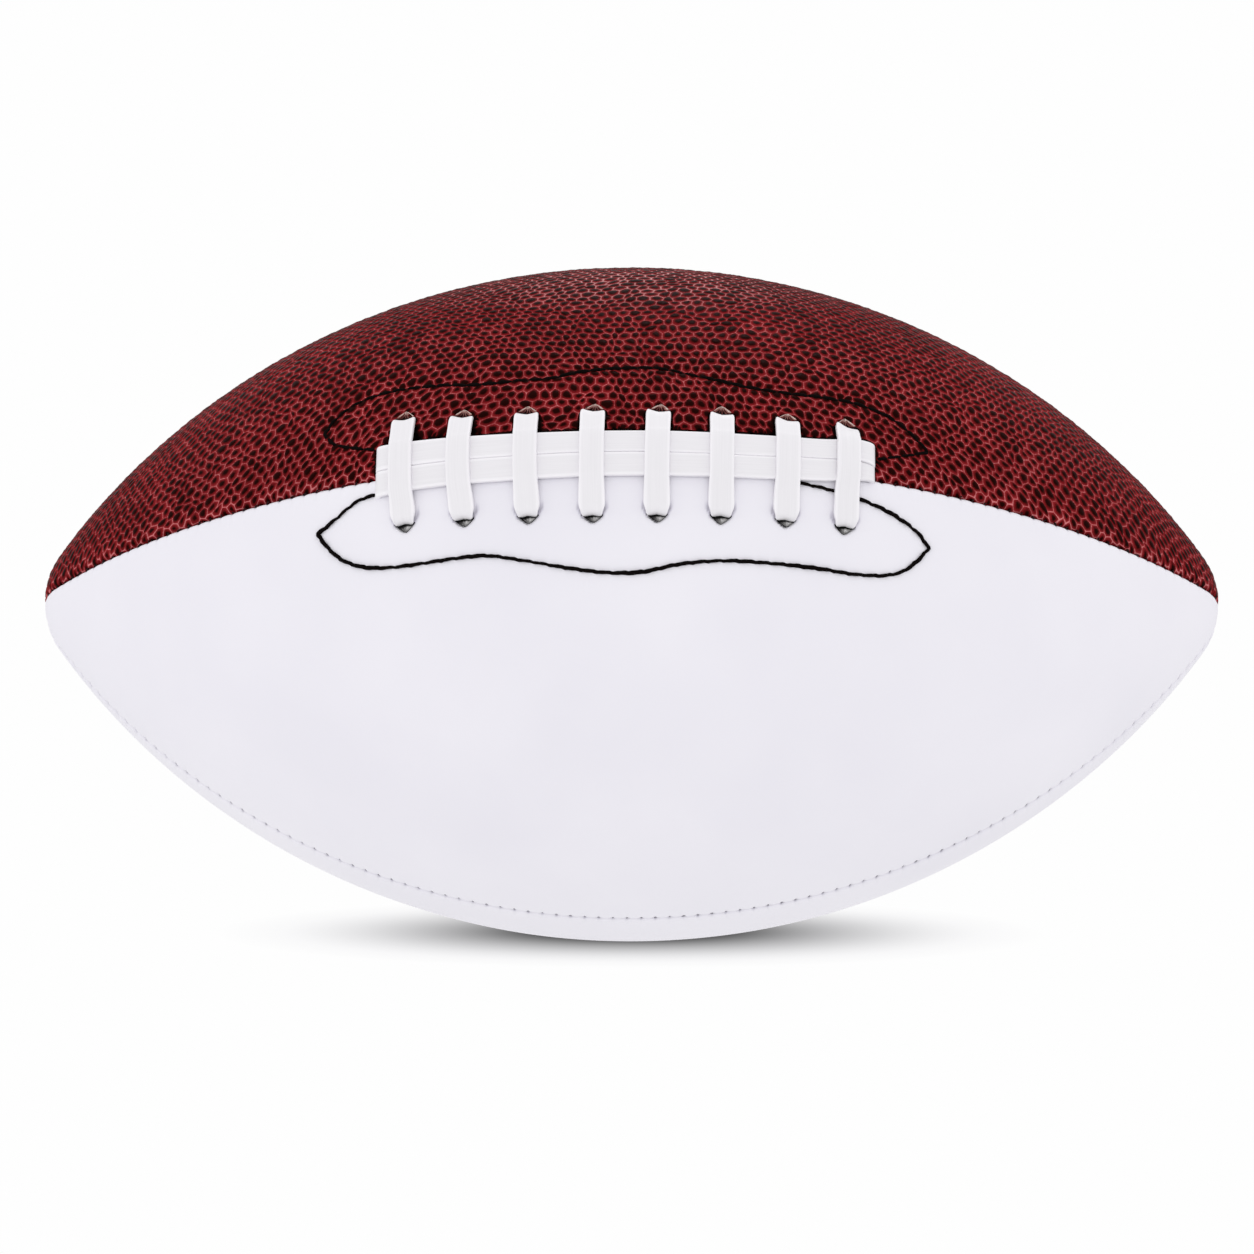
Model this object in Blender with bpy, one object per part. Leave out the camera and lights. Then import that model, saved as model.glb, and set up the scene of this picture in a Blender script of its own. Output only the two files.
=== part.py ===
"""American football, laid on its side with the lacing towards the viewer.

Four leather gores are sewn inside out, turned, and laced shut over a rubber bladder.
X runs from point to point, Z is up and the origin is the middle of the ball. Lengths are
in metres, angles in radians. A place on the ball is given by s, the arc along the
meridian from the middle, by its way round from a seam, and by its depth under the skin.
"""
import math

import bmesh
import bpy
import numpy as np

# Ball
BALL_LENGTH = 0.280
BALL_DIAMETER = 0.1604
NOSE_RADIUS = 0.0196
TIP_HOLE_RADIUS = 0.0012
REST_FLAT_DEPTH = 0.0005
REST_HALF_LENGTH = 0.0090
REST_HALF_WIDTH = 0.0060

# Seams: angle from the middle of the side facing -Y, and how far each is drawn in at the points
LACE_SEAM_ANGLE = math.radians(29)
LACE_SEAM_DRAW = math.radians(-2.5)
LOWER_SEAM_DRAW = math.radians(4)
SEAM_GAP = 0.0003
SEAM_ROLL_RADIUS = 0.0016
SEAM_ALLOWANCE = 0.0030
LEAST_ALLOWANCE_SHARE = 0.1
MOST_ROLL_IN_LEATHER = 0.85
MOST_ROLL_IN_COLUMN = 0.8
MOST_FURROW_IN_COLUMN = 0.4

# Sheets
PANEL_THICKNESS = 0.0018
LINING_THICKNESS = 0.0006
FACING_THICKNESS = 0.0010
GUARD_THICKNESS = 0.0012
BLADDER_WALL = 0.0010
TOUCH = 0.0003
PLAY = 0.00045

# Lace and its holes
CROSS_STRAPS = 8
HOLE_PITCH = 0.01466
HOLE_REACH = 0.0137
LACE_WIDTH = 0.0059
LACE_THICKNESS = 0.0013
BAND_SHIFT = 0.0014
BAND_SPREAD = 0.0006
END_SLOT_GAP = 0.0060
HOLE_CLEARANCE = 0.0005
SLOT_END_ROUND = 0.6
LACE_FOLD_RADIUS = 0.0010
MOST_FOLD_IN_RUN = 0.45
LACE_TAIL = 0.0100

# Lace guard
GUARD_HALF_WIDTH = 0.0162
GUARD_OVERHANG = 0.0100
GUARD_END_STATIONS = (1.0, 0.94, 0.7, 0.3)
GUARD_LEAST_WIDTH = 0.2

# Facing, held by a black lock stitch
FACING_MARGIN = 0.0030
FACING_TIP_WIDTH = 0.25
STITCH_TIP = (0.0711, 0.0120)
STITCH_INNER_END = (0.0600, 0.0060)
STITCH_EDGE = ((0.0, 0.0258), (0.012, 0.0248), (0.024, 0.0226), (0.035, 0.0216),
               (0.0476, 0.0223), (0.0581, 0.0216), (0.0651, 0.0183), STITCH_TIP)

# Threads
SEAM_THREAD_DIAMETER = 0.0007
STITCH_THREAD_DIAMETER = 0.0008

# Valve, in the brown back panel
VALVE_FROM_SEAM = 0.0260
VALVE_HEAD_RADIUS = 0.0045
VALVE_HEAD_RECESS = 0.0002
VALVE_FLANGE_RADIUS = 0.0085
VALVE_FLANGE_THICKNESS = 0.0012
VALVE_STEM_RADIUS = 0.0040
VALVE_LENGTH = 0.0150
PLUG_RADIUS = 0.0021
PLUG_LENGTH = 0.0090
NEEDLE_HOLE_RADIUS = 0.0004
NEEDLE_SLIT_RADIUS = 0.0010

# Facets
BELLY_STEPS = 6
NOSE_STEPS = 3
STITCH_POINTS = 31
TUBE_SIDES = 5
ROUND_SIDES = 20
GUARD_COLUMNS = 5
SHARP_ANGLE = math.radians(35)

# Worked out from the sizes above
BALL_RADIUS = BALL_DIAMETER / 2
NOSE_CENTRE = BALL_LENGTH / 2 - NOSE_RADIUS
BELLY_RADIUS = (NOSE_CENTRE ** 2 + BALL_RADIUS ** 2 - NOSE_RADIUS ** 2) / (2 * (BALL_RADIUS - NOSE_RADIUS))
TANGENT_ANGLE = math.asin(NOSE_CENTRE / (BELLY_RADIUS - NOSE_RADIUS))
BELLY_ARC = BELLY_RADIUS * TANGENT_ANGLE
TIP_ANGLE = math.acos(TIP_HOLE_RADIUS / NOSE_RADIUS)
TIP_ARC = BELLY_ARC + NOSE_RADIUS * (TIP_ANGLE - TANGENT_ANGLE)
POLE_ARC = BELLY_ARC + NOSE_RADIUS * (math.pi / 2 - TANGENT_ANGLE)

LINING_OUTER = PANEL_THICKNESS + TOUCH
LINING_INNER = LINING_OUTER + LINING_THICKNESS
FACING_OUTER = LINING_INNER + TOUCH
FACING_INNER = FACING_OUTER + FACING_THICKNESS
LACE_INSIDE = FACING_INNER + PLAY + LACE_THICKNESS / 2
GUARD_OUTER = FACING_INNER + LACE_THICKNESS + 2 * PLAY
GUARD_INNER = GUARD_OUTER + GUARD_THICKNESS
BLADDER_DEPTH = LINING_INNER + PLAY
LACE_ON_SKIN = -(TOUCH + LACE_THICKNESS / 2)
LACE_ON_BANDS = LACE_ON_SKIN - LACE_THICKNESS - PLAY

HOLE_PLACES = [(i - (CROSS_STRAPS - 1) / 2) * HOLE_PITCH for i in range(CROSS_STRAPS)]
END_SLOT = HOLE_PLACES[-1] + END_SLOT_GAP
BAND_SPACING = LACE_WIDTH + TOUCH
UPPER_BAND = BAND_SHIFT + BAND_SPACING / 2
LOWER_BAND = BAND_SHIFT - BAND_SPACING / 2
ALLOWANCE_START = END_SLOT + LACE_TAIL
ALLOWANCE_FULL = ALLOWANCE_START + 2 * LACE_TAIL
GUARD_HALF_LENGTH = END_SLOT + GUARD_OVERHANG

# The gores in order round the ball, each starting at the seam of its own number
QUARTER = math.pi / 2
SEAM_ANGLES = [LACE_SEAM_ANGLE + k * QUARTER for k in range(4)]
SEAM_DRAWS = [LACE_SEAM_DRAW, 0.0, 0.0, LOWER_SEAM_DRAW]
BROWN_LACE, BROWN_BACK, WHITE_BOTTOM, WHITE_LACE = range(4)
LACE_SEAM, BACK_SEAM, BOTTOM_SEAM, LOWER_SEAM = range(4)


def clear_scene():
    for old in list(bpy.data.objects):
        bpy.data.objects.remove(old, do_unlink=True)


def material(name, colour, roughness):
    """A plain Principled material of one colour."""
    made = bpy.data.materials.new(name)
    made.use_nodes = True
    shader = made.node_tree.nodes["Principled BSDF"]
    shader.inputs["Base Color"].default_value = (*colour, 1.0)
    shader.inputs["Roughness"].default_value = roughness
    shader.inputs["Metallic"].default_value = 0.0
    return made


# The ball's form

def profile(s, depth):
    """x and radius of a point of the meridian: a belly arc, then a nose arc, both sunk by depth."""
    s = np.asarray(s, float)
    bend = np.abs(s)
    on_belly = bend <= BELLY_ARC
    angle = np.where(on_belly, bend / BELLY_RADIUS, TANGENT_ANGLE + (bend - BELLY_ARC) / NOSE_RADIUS)
    arc_radius = np.where(on_belly, BELLY_RADIUS, NOSE_RADIUS) - depth
    x = np.where(on_belly, 0.0, NOSE_CENTRE) + arc_radius * np.sin(angle)
    r = np.where(on_belly, BALL_RADIUS - BELLY_RADIUS, 0.0) + arc_radius * np.cos(angle)
    return np.where(s < 0, -x, x), r


def seam_angle(seam, s):
    """Angle of a seam round the ball, drawn in towards the points as the square of s."""
    turns, index = divmod(seam, 4)
    draw = np.minimum(np.abs(s) / BELLY_ARC, 1.0) ** 2
    return SEAM_ANGLES[index] + turns * 2 * math.pi + SEAM_DRAWS[index] * draw


def exact_point(s, angle, depth):
    x, r = profile(s, depth)
    return np.stack([x + 0 * angle, -r * np.cos(angle), r * np.sin(angle)], axis=-1)


def stations():
    """Arcs at which every sheet has a ring of corners, so that the layers keep parallel facets."""
    belly = np.linspace(REST_HALF_LENGTH, BELLY_ARC, BELLY_STEPS + 1)
    nose = np.linspace(BELLY_ARC, TIP_ARC, NOSE_STEPS + 1)[1:]
    half = np.concatenate([belly, nose])
    return np.concatenate([-half[::-1], half])


def crown_shares():
    """Shares of a gore's width at which the sheets have lines of corners, seams included.

    Two of the lines bound the facet that the ball rests on, in the bottom gore.
    """
    first = (GUARD_HALF_WIDTH + PLAY) / BALL_RADIUS / QUARTER
    lowest = (3 * QUARTER - SEAM_ANGLES[WHITE_BOTTOM]) / QUARTER
    beside = REST_HALF_WIDTH / BALL_RADIUS / QUARTER
    crown = np.linspace(first, lowest - beside, 4)
    return np.concatenate([[0.0], crown, [lowest + beside, 1.0 - first, 1.0]])


STATIONS = stations()
SHARES = crown_shares()

# How far the middle of a facet can lie under the true curve
FACET_SAG = (BALL_RADIUS * (1 - math.cos((SHARES[2] - SHARES[1]) * QUARTER / 2))
             + BELLY_RADIUS * (1 - math.cos(TANGENT_ANGLE / (2 * BELLY_STEPS))))


def cell(lines, value):
    index = np.clip(np.searchsorted(lines, value, side="right") - 1, 0, len(lines) - 2)
    return index, (value - lines[index]) / (lines[index + 1] - lines[index])


def on_gore(gore, s, share, depth):
    """Point on the faceted skin of a gore: the four corners of its facet, blended both ways."""
    s, share, depth = np.broadcast_arrays(*(np.asarray(v, float) for v in (s, share, depth)))
    row, down = cell(STATIONS, s)
    column, across = cell(SHARES, share)

    def corner(i, j):
        station = STATIONS[row + i]
        start = seam_angle(gore, station)
        width = seam_angle(gore + 1, station) - start
        return exact_point(station, start + width * SHARES[column + j], depth)

    near = corner(0, 0) * (1 - across)[..., None] + corner(0, 1) * across[..., None]
    far = corner(1, 0) * (1 - across)[..., None] + corner(1, 1) * across[..., None]
    return near * (1 - down)[..., None] + far * down[..., None]


def share_of(gore, s, distance, depth):
    """Share of a gore's width that lies this distance from its first seam."""
    _, r = profile(s, depth)
    return distance / (r * (seam_angle(gore + 1, s) - seam_angle(gore, s)))


def by_lacing(s, across, depth):
    """Point near the lace seam: across is positive on the brown side, negative on the white."""
    s, across, depth = np.broadcast_arrays(*(np.asarray(v, float) for v in (s, across, depth)))
    brown = on_gore(BROWN_LACE, s, share_of(BROWN_LACE, s, np.maximum(across, 0.0), 0.0), depth)
    white = on_gore(WHITE_LACE, s, 1.0 - share_of(WHITE_LACE, s, np.maximum(-across, 0.0), 0.0), depth)
    return np.where((across >= 0)[..., None], brown, white)


# Building meshes

def finish(name, bm, finish_material, smooth=True):
    """Merge what coincides, and make the object."""
    bmesh.ops.remove_doubles(bm, verts=bm.verts, dist=1e-6)
    bmesh.ops.dissolve_degenerate(bm, dist=1e-7, edges=bm.edges)
    bmesh.ops.recalc_face_normals(bm, faces=bm.faces)
    mesh = bpy.data.meshes.new(name)
    bm.to_mesh(mesh)
    bm.free()
    if smooth:
        mesh.shade_smooth()
        mesh.set_sharp_from_angle(angle=SHARP_ANGLE)
    mesh.materials.append(finish_material)
    made = bpy.data.objects.new(name, mesh)
    bpy.context.scene.collection.objects.link(made)
    return made


def add_grid(bm, points, closed=False, flip=False):
    """Faces over a grid of points; closed joins its last column to its first."""
    rows, columns = points.shape[:2]
    verts = [[bm.verts.new(points[i, j]) for j in range(columns)] for i in range(rows)]
    for i in range(rows - 1):
        for j in range(columns if closed else columns - 1):
            k = (j + 1) % columns
            ring = [verts[i][j], verts[i + 1][j], verts[i + 1][k], verts[i][k]]
            bm.faces.new(ring[::-1] if flip else ring)
    return verts


def bridge(bm, first, second):
    """Faces between two rows of corners of the same number."""
    for a, b, c, d in zip(first, first[1:], second[1:], second):
        bm.faces.new([a, b, c, d])


def thick_sheet(name, outer, inner, finish_material):
    """A sheet between two grids of points, closed along its four edges."""
    bm = bmesh.new()
    top = add_grid(bm, outer)
    bottom = add_grid(bm, inner, flip=True)
    bridge(bm, top[0], bottom[0])
    bridge(bm, bottom[-1], top[-1])
    bridge(bm, [row[0] for row in bottom], [row[0] for row in top])
    bridge(bm, [row[-1] for row in top], [row[-1] for row in bottom])
    return finish(name, bm, finish_material)


def add_tube(bm, centres, sides, across, up):
    """A closed tube: sides are unit offsets round its section, across and up its half widths."""
    rings = [[bm.verts.new(c + a * u + b * v) for a, b in sides] for c, u, v in zip(centres, across, up)]
    for one, two in zip(rings, rings[1:]):
        for j in range(len(sides)):
            k = (j + 1) % len(sides)
            bm.faces.new([one[j], one[k], two[k], two[j]])
    bm.faces.new(rings[0][::-1])
    bm.faces.new(rings[-1])


def unit(vectors):
    return vectors / np.linalg.norm(vectors, axis=-1, keepdims=True)


def along(points):
    """Direction of travel at each point of a path."""
    return unit(np.gradient(points, axis=0))


def round_sides(count):
    turn = np.arange(count) * 2 * math.pi / count
    return np.stack([np.cos(turn), np.sin(turn)], axis=-1)


def add_thread(bm, points, outward, diameter):
    """A round thread along points, with outward as a rough direction away from the ball."""
    travel = along(points)
    across = unit(np.cross(outward, travel))
    up = np.cross(travel, across)
    add_tube(bm, points, round_sides(TUBE_SIDES), across * diameter / 2, up * diameter / 2)


# Panels and linings

def smooth_step(value, start, end):
    t = np.clip((value - start) / (end - start), 0.0, 1.0)
    return t * t * (3 - 2 * t)


def allowance(seam, s):
    """Share of the seam allowance that stands in at s: none at the points or in the lacing's slit."""
    _, r = profile(s, 0.0)
    share = smooth_step(r, NOSE_RADIUS / 2, NOSE_RADIUS * 1.5)
    if seam % 4 == LACE_SEAM:
        share = share * smooth_step(np.abs(s), ALLOWANCE_START, ALLOWANCE_FULL)
    return np.where(share < LEAST_ALLOWANCE_SHARE, 0.0, share)


def roll_radius(s):
    """Radius of the turned edge, smaller where the gore is narrow and less than the leather."""
    _, r = profile(s, 0.0)
    room = MOST_ROLL_IN_COLUMN * SHARES[1] * QUARTER * r - SEAM_GAP / 2
    return np.minimum(min(SEAM_ROLL_RADIUS, MOST_ROLL_IN_LEATHER * PANEL_THICKNESS), room)


def panel_edge(gore, seam, s):
    """The rolled edge and its turned-in allowance, as shares and depths, from the inside out."""
    half_gap = np.full_like(s, SEAM_GAP / 2)
    stand = allowance(seam, s)
    roll = roll_radius(s)
    foot = PANEL_THICKNESS + SEAM_ALLOWANCE * stand
    lean = math.sqrt(0.5)
    outer = [(half_gap, foot), (half_gap, roll), (half_gap + roll * (1 - lean), roll * (1 - lean)),
             (half_gap + roll, 0 * s)]
    inner_side = half_gap + PANEL_THICKNESS * stand
    wall = np.full_like(s, PANEL_THICKNESS)
    inner = [(inner_side, foot), (inner_side, wall), (inner_side, wall), (inner_side, wall)]
    to_share = [[(share_of(gore, s, q, d), d) for q, d in side] for side in (outer, inner)]
    return to_share


def lay(gore, s, columns):
    """Grid of points of a gore from columns of shares and depths."""
    return np.stack([on_gore(gore, s, share, depth) for share, depth in columns], axis=1)


def gore_columns(first, crown_depth, last, s):
    """Columns from one seam's edge over the crown to the other seam's edge."""
    crown = [(np.full_like(s, share), np.full_like(s, crown_depth)) for share in SHARES[1:-1]]
    return first + crown + [(1 - share, depth) for share, depth in last[::-1]]


def sunk_to_rest(points):
    """The bottom of the ball, pressed flat where it lies."""
    floor = -(BALL_RADIUS - REST_FLAT_DEPTH)
    flat = points.copy()
    flat[..., 2] = np.maximum(flat[..., 2], floor)
    return flat


def make_panel(name, gore, finish_material):
    s = STATIONS
    first = panel_edge(gore, gore, s)
    last = panel_edge(gore, gore + 1, s)
    outer = lay(gore, s, gore_columns(first[0], 0.0, last[0], s))
    inner = lay(gore, s, gore_columns(first[1], PANEL_THICKNESS, last[1], s))
    return thick_sheet(name, sunk_to_rest(outer), inner, finish_material)


def make_lining(name, gore, finish_material):
    s = STATIONS[1:-1]
    sides = []
    for depth in (LINING_OUTER, LINING_INNER):
        edges = []
        for seam in (gore, gore + 1):
            stand = allowance(seam, s)
            from_seam = SEAM_GAP / 2 + (PANEL_THICKNESS + TOUCH) * stand
            edges.append([(share_of(gore, s, from_seam, depth), np.full_like(s, depth))])
        sides.append(lay(gore, s, gore_columns(edges[0], depth, edges[1], s)))
    return thick_sheet(name, sides[0], sides[1], finish_material)


# Lace facings and the lace guard

def stitch_line(s):
    """Distance of the black stitch's long edge from the lace seam, by cubic curves through its points."""
    knots, heights = np.array(STITCH_EDGE).T
    slopes = np.gradient(heights, knots)
    slopes[0] = 0.0
    at = np.clip(np.abs(s), 0.0, knots[-1])
    i, t = cell(knots, at)
    span = knots[i + 1] - knots[i]
    return (heights[i] * (1 + 2 * t) * (1 - t) ** 2 + span * slopes[i] * t * (1 - t) ** 2
            + heights[i + 1] * t * t * (3 - 2 * t) - span * slopes[i + 1] * t * t * (1 - t))


def facing_stations():
    inside = STATIONS[np.abs(STATIONS) < STITCH_TIP[0] - FACING_MARGIN]
    tip = STITCH_TIP[0] + FACING_MARGIN
    shoulder = STITCH_INNER_END[0]
    ends = [-tip, -STITCH_TIP[0], -shoulder, shoulder, STITCH_TIP[0], tip]
    return np.unique(np.concatenate([inside, ends]))


def facing_reach(s):
    """Near and far edge of the facing at s: a leaf that meets the seam along the lacing."""
    bend = np.abs(s)
    tip = STITCH_TIP[0] + FACING_MARGIN
    point = STITCH_TIP[1]
    near = np.interp(bend, [STITCH_INNER_END[0], tip], [SEAM_GAP, point - FACING_MARGIN / 4])
    taper = np.interp(bend, [STITCH_TIP[0], tip], [1.0, FACING_TIP_WIDTH])
    far = point + (stitch_line(s) - point + FACING_MARGIN) * taper
    return near, far


def make_facing(name, side, finish_material):
    """A leaf of facing; side is 1 in the brown gore and -1 in the white."""
    s = facing_stations()
    near, far = facing_reach(s)
    _, r = profile(s, 0.0)
    ridge = (SHARES[1] * QUARTER * r, SHARES[2] * QUARTER * r)
    rows = [near] + [np.clip(line, near, far) for line in ridge] + [far]
    grids = []
    for depth in (FACING_OUTER, FACING_INNER):
        grids.append(np.stack([by_lacing(s, side * row, depth) for row in rows], axis=1))
    return thick_sheet(name, grids[0], grids[1], finish_material)


def make_guard(finish_material):
    """The tongue under the lacing, with rounded ends."""
    inside = STATIONS[np.abs(STATIONS) < GUARD_HALF_LENGTH - GUARD_OVERHANG]
    ends = GUARD_HALF_LENGTH - GUARD_HALF_WIDTH * (1 - np.array(GUARD_END_STATIONS))
    s = np.unique(np.concatenate([-ends, inside, ends[::-1]]))
    from_end = np.clip((np.abs(s) - GUARD_HALF_LENGTH + GUARD_HALF_WIDTH) / GUARD_HALF_WIDTH, 0.0, 1.0)
    width = GUARD_HALF_WIDTH * np.maximum(np.sqrt(1 - from_end ** 2), GUARD_LEAST_WIDTH)
    grids = []
    for depth in (GUARD_OUTER, GUARD_INNER):
        rows = [by_lacing(s, share * width, depth) for share in np.linspace(-1.0, 1.0, GUARD_COLUMNS)]
        grids.append(np.stack(rows, axis=1))
    return thick_sheet("lace_guard", grids[0], grids[1], finish_material)


# Lace

def flat_turn(centre, radius, first_angle, last_angle, points):
    """A turn in the plane of the sheets; its angles are those of the lace's width."""
    angles = np.radians(np.linspace(first_angle, last_angle, points))
    side = 1 if last_angle < first_angle else -1
    return [(centre[0] + side * radius * math.cos(a), centre[1] + side * radius * math.sin(a), LACE_INSIDE, a)
            for a in angles]


def lace_route():
    """Corners of the lace's way: s, across, depth, and the angle of its width from the s direction.

    It comes up at the left end, runs right as the upper band, turns back inside the right
    end, runs left as the lower band, then crosses the bands eight times from hole to hole.
    """
    up, flat = LACE_ON_SKIN, LACE_INSIDE
    right = math.radians(90)
    first, last = HOLE_PLACES[0], HOLE_PLACES[-1]
    upper, lower = UPPER_BAND + BAND_SPREAD, LOWER_BAND - BAND_SPREAD
    band = [s for s in STATIONS if abs(s) < END_SLOT - LACE_WIDTH / 2]
    route = [(-END_SLOT - LACE_TAIL, upper, flat, right), (-END_SLOT, upper, flat, right),
             (-END_SLOT, UPPER_BAND, up, right)]
    route += [(s, UPPER_BAND, up, right) for s in band]
    route += [(END_SLOT, UPPER_BAND, up, right), (END_SLOT, upper, flat, right)]
    loop = BAND_SPACING / 2 + BAND_SPREAD
    route += flat_turn((END_SLOT + 3 * LACE_FOLD_RADIUS, BAND_SHIFT), loop, 90, -90, 7)
    route += [(END_SLOT, lower, flat, -right), (END_SLOT, LOWER_BAND, up, -right)]
    route += [(s, LOWER_BAND, up, -right) for s in band[::-1]]
    route += [(-END_SLOT, LOWER_BAND, up, -right), (-END_SLOT, lower, flat, -right)]
    sweep = END_SLOT_GAP - 2 * LACE_FOLD_RADIUS
    turn = flat_turn((first - sweep, LOWER_BAND + sweep), sweep, 90, 0, 3)
    route += [(s, 2 * (LOWER_BAND + sweep) - across, flat, -angle) for s, across, _, angle in turn]
    inset = HOLE_REACH - 2 * LACE_FOLD_RADIUS
    lean = math.atan2(HOLE_PITCH, 2 * inset)
    foot = LACE_WIDTH / 2 + PLAY + LACE_THICKNESS
    for place in HOLE_PLACES:
        route += [(place, HOLE_REACH, flat, 0.0), (place, HOLE_REACH, up, 0.0),
                  (place, UPPER_BAND + foot + LACE_THICKNESS, up, 0.0),
                  (place, UPPER_BAND + foot, LACE_ON_BANDS, 0.0), (place, 0.0, LACE_ON_BANDS, 0.0),
                  (place, LOWER_BAND - foot, LACE_ON_BANDS, 0.0),
                  (place, LOWER_BAND - foot - LACE_THICKNESS, up, 0.0),
                  (place, -HOLE_REACH, up, 0.0), (place, -HOLE_REACH, flat, 0.0)]
        if place < last:
            route += [(place, -inset, flat, -lean / 2), (place + HOLE_PITCH / 2, 0.0, flat, -lean),
                      (place + HOLE_PITCH, inset, flat, -lean / 2)]
    route += [(last, LACE_TAIL - HOLE_REACH, flat, 0.0)]
    return np.array(route)


def rounded(route, radius):
    """Replace each fold of a route by three points of a bend; turns within the sheet stay."""
    bent = [route[0]]
    for before, corner, after in zip(route, route[1:], route[2:]):
        if before[2] == corner[2] == after[2]:
            bent.append(corner)
            continue
        back, ahead = before - corner, after - corner
        back_length, ahead_length = np.linalg.norm(back[:3]), np.linalg.norm(ahead[:3])
        cut = min(radius, MOST_FOLD_IN_RUN * back_length, MOST_FOLD_IN_RUN * ahead_length)
        start = corner + back * cut / back_length
        end = corner + ahead * cut / ahead_length
        start[3] = end[3] = corner[3]
        bent += [start, 0.25 * start + 0.5 * corner + 0.25 * end, end]
    bent.append(route[-1])
    return np.array(bent)


def make_lace(finish_material):
    route = rounded(lace_route(), LACE_FOLD_RADIUS)
    s, across, depth, angle = route.T
    along_half = np.cos(angle) * LACE_WIDTH / 2
    across_half = np.sin(angle) * LACE_WIDTH / 2
    near = by_lacing(s - along_half, across - across_half, depth)
    far = by_lacing(s + along_half, across + across_half, depth)
    centres = (near + far) / 2
    width = unit(far - near)
    normal = unit(np.cross(along(centres), width))
    bm = bmesh.new()
    corners = np.array([(-1, -1), (1, -1), (1, 1), (-1, 1)])
    add_tube(bm, centres, corners, width * LACE_WIDTH / 2, normal * LACE_THICKNESS / 2)
    return finish("lace", bm, finish_material)


# Holes

def local_frame(centre, inner):
    """Axes at a place of the skin: outward, along the ball, and across."""
    outward = unit(centre - inner)
    lengthwise = unit(np.cross(np.cross(outward, [1.0, 0.0, 0.0]), outward))
    return outward, lengthwise, np.cross(outward, lengthwise)


def sheet_axes(s, across, depth):
    """Directions along the lacing and across it, at places of the sheets."""
    step = 1e-4
    lengthwise = unit(by_lacing(s + step, across, depth) - by_lacing(s - step, across, depth))
    sidewise = unit(by_lacing(s, across + step, depth) - by_lacing(s, across - step, depth))
    return lengthwise, sidewise


def add_slot(bm, s, across, half_length, half_width):
    """A slot with rounded ends, cut straight down through the panel, its lining and its facing."""
    centre = by_lacing(s, across, 0.0)
    outward = unit(centre - by_lacing(s, across, FACING_INNER))
    lengthwise, sidewise = sheet_axes(s, across, 0.0)
    end = SLOT_END_ROUND * min(half_length, half_width)
    turn = np.radians([-90, -30, 30, 90, 90, 150, 210, 270])
    shift = np.array([1, 1, 1, 1, -1, -1, -1, -1])
    u = shift * (half_length - end) + end * np.cos(turn)
    v = end * np.sin(turn) + np.sign(np.sin(turn)) * (half_width - end)
    rings = []
    for height in (3 * LACE_THICKNESS, -FACING_INNER - SEAM_ALLOWANCE):
        points = centre + outward * height + u[:, None] * lengthwise + v[:, None] * sidewise
        rings.append([bm.verts.new(p) for p in points])
    bm.faces.new(rings[0])
    bm.faces.new(rings[1][::-1])
    for j in range(len(u)):
        k = (j + 1) % len(u)
        bm.faces.new([rings[0][j], rings[1][j], rings[1][k], rings[0][k]])


def make_slot_cutter(finish_material):
    bm = bmesh.new()
    half_length = LACE_WIDTH / 2 + HOLE_CLEARANCE
    half_width = LACE_THICKNESS / 2 + HOLE_CLEARANCE
    for place in HOLE_PLACES:
        for side in (1, -1):
            add_slot(bm, place, side * HOLE_REACH, half_length, half_width)
    for end in (1, -1):
        add_slot(bm, end * END_SLOT, BAND_SHIFT, half_width, BAND_SPACING / 2 + BAND_SPREAD + half_length)
    cutter = finish("lace_hole_cutter", bm, finish_material, smooth=False)
    return hidden(cutter)


def hidden(cutter):
    cutter.hide_render = True
    cutter.display_type = "WIRE"
    return cutter


def cut(target, cutter, operation="DIFFERENCE"):
    modifier = target.modifiers.new(cutter.name, "BOOLEAN")
    modifier.operation = operation
    modifier.solver = "EXACT"
    modifier.object = cutter


# Bladder and valve

def bladder_depth(gore, share, s, step):
    """Depth of the bladder's skin: it lies on the lining, gives way to the seams and the lacing."""
    _, r = profile(s, 0.0)
    near_seam = gore if share < 0.5 else gore + 1
    to_seam = min(share, 1 - share)
    depth = np.full_like(s, BLADDER_DEPTH)
    if to_seam < SHARES[1] / 2:
        foot = PANEL_THICKNESS + SEAM_ALLOWANCE * allowance(near_seam, s)
        depth = np.maximum(depth, foot + PLAY)
    if near_seam % 4 == LACE_SEAM:
        line_before = max(k for k, v in enumerate(SHARES) if k == 0 or v < to_seam - 1e-6)
        before = SHARES[line_before] * QUARTER * r
        by_length = np.abs(s) - step
        over_facing = (before < facing_reach(s)[1]) & (by_length < STITCH_TIP[0] + FACING_MARGIN)
        over_guard = (before < GUARD_HALF_WIDTH) & (by_length < GUARD_HALF_LENGTH)
        depth = np.where(over_facing, np.maximum(depth, FACING_INNER + PLAY), depth)
        depth = np.where(over_guard, GUARD_INNER + PLAY, depth)
    return depth


def bladder_ring(s, groove, extra):
    """Columns of points right round the ball; groove is the half width of the furrow at a seam."""
    step = BELLY_ARC / BELLY_STEPS
    columns = []
    for gore in range(4):
        if groove:
            edge = share_of(gore, s, groove, 0.0)
            edge = np.minimum(edge, SHARES[1] * MOST_FURROW_IN_COLUMN)
            edges = [edge, 1 - edge]
        else:
            edges = [0 * s]
        shares = [edges[0]] + [np.full_like(s, v) for v in SHARES[1:-1]] + edges[1:]
        for share in shares:
            depth = bladder_depth(gore, float(share[len(s) // 2]), s, step) + extra
            columns.append(on_gore(gore, s, share, depth))
    return np.stack(columns, axis=1)


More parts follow.
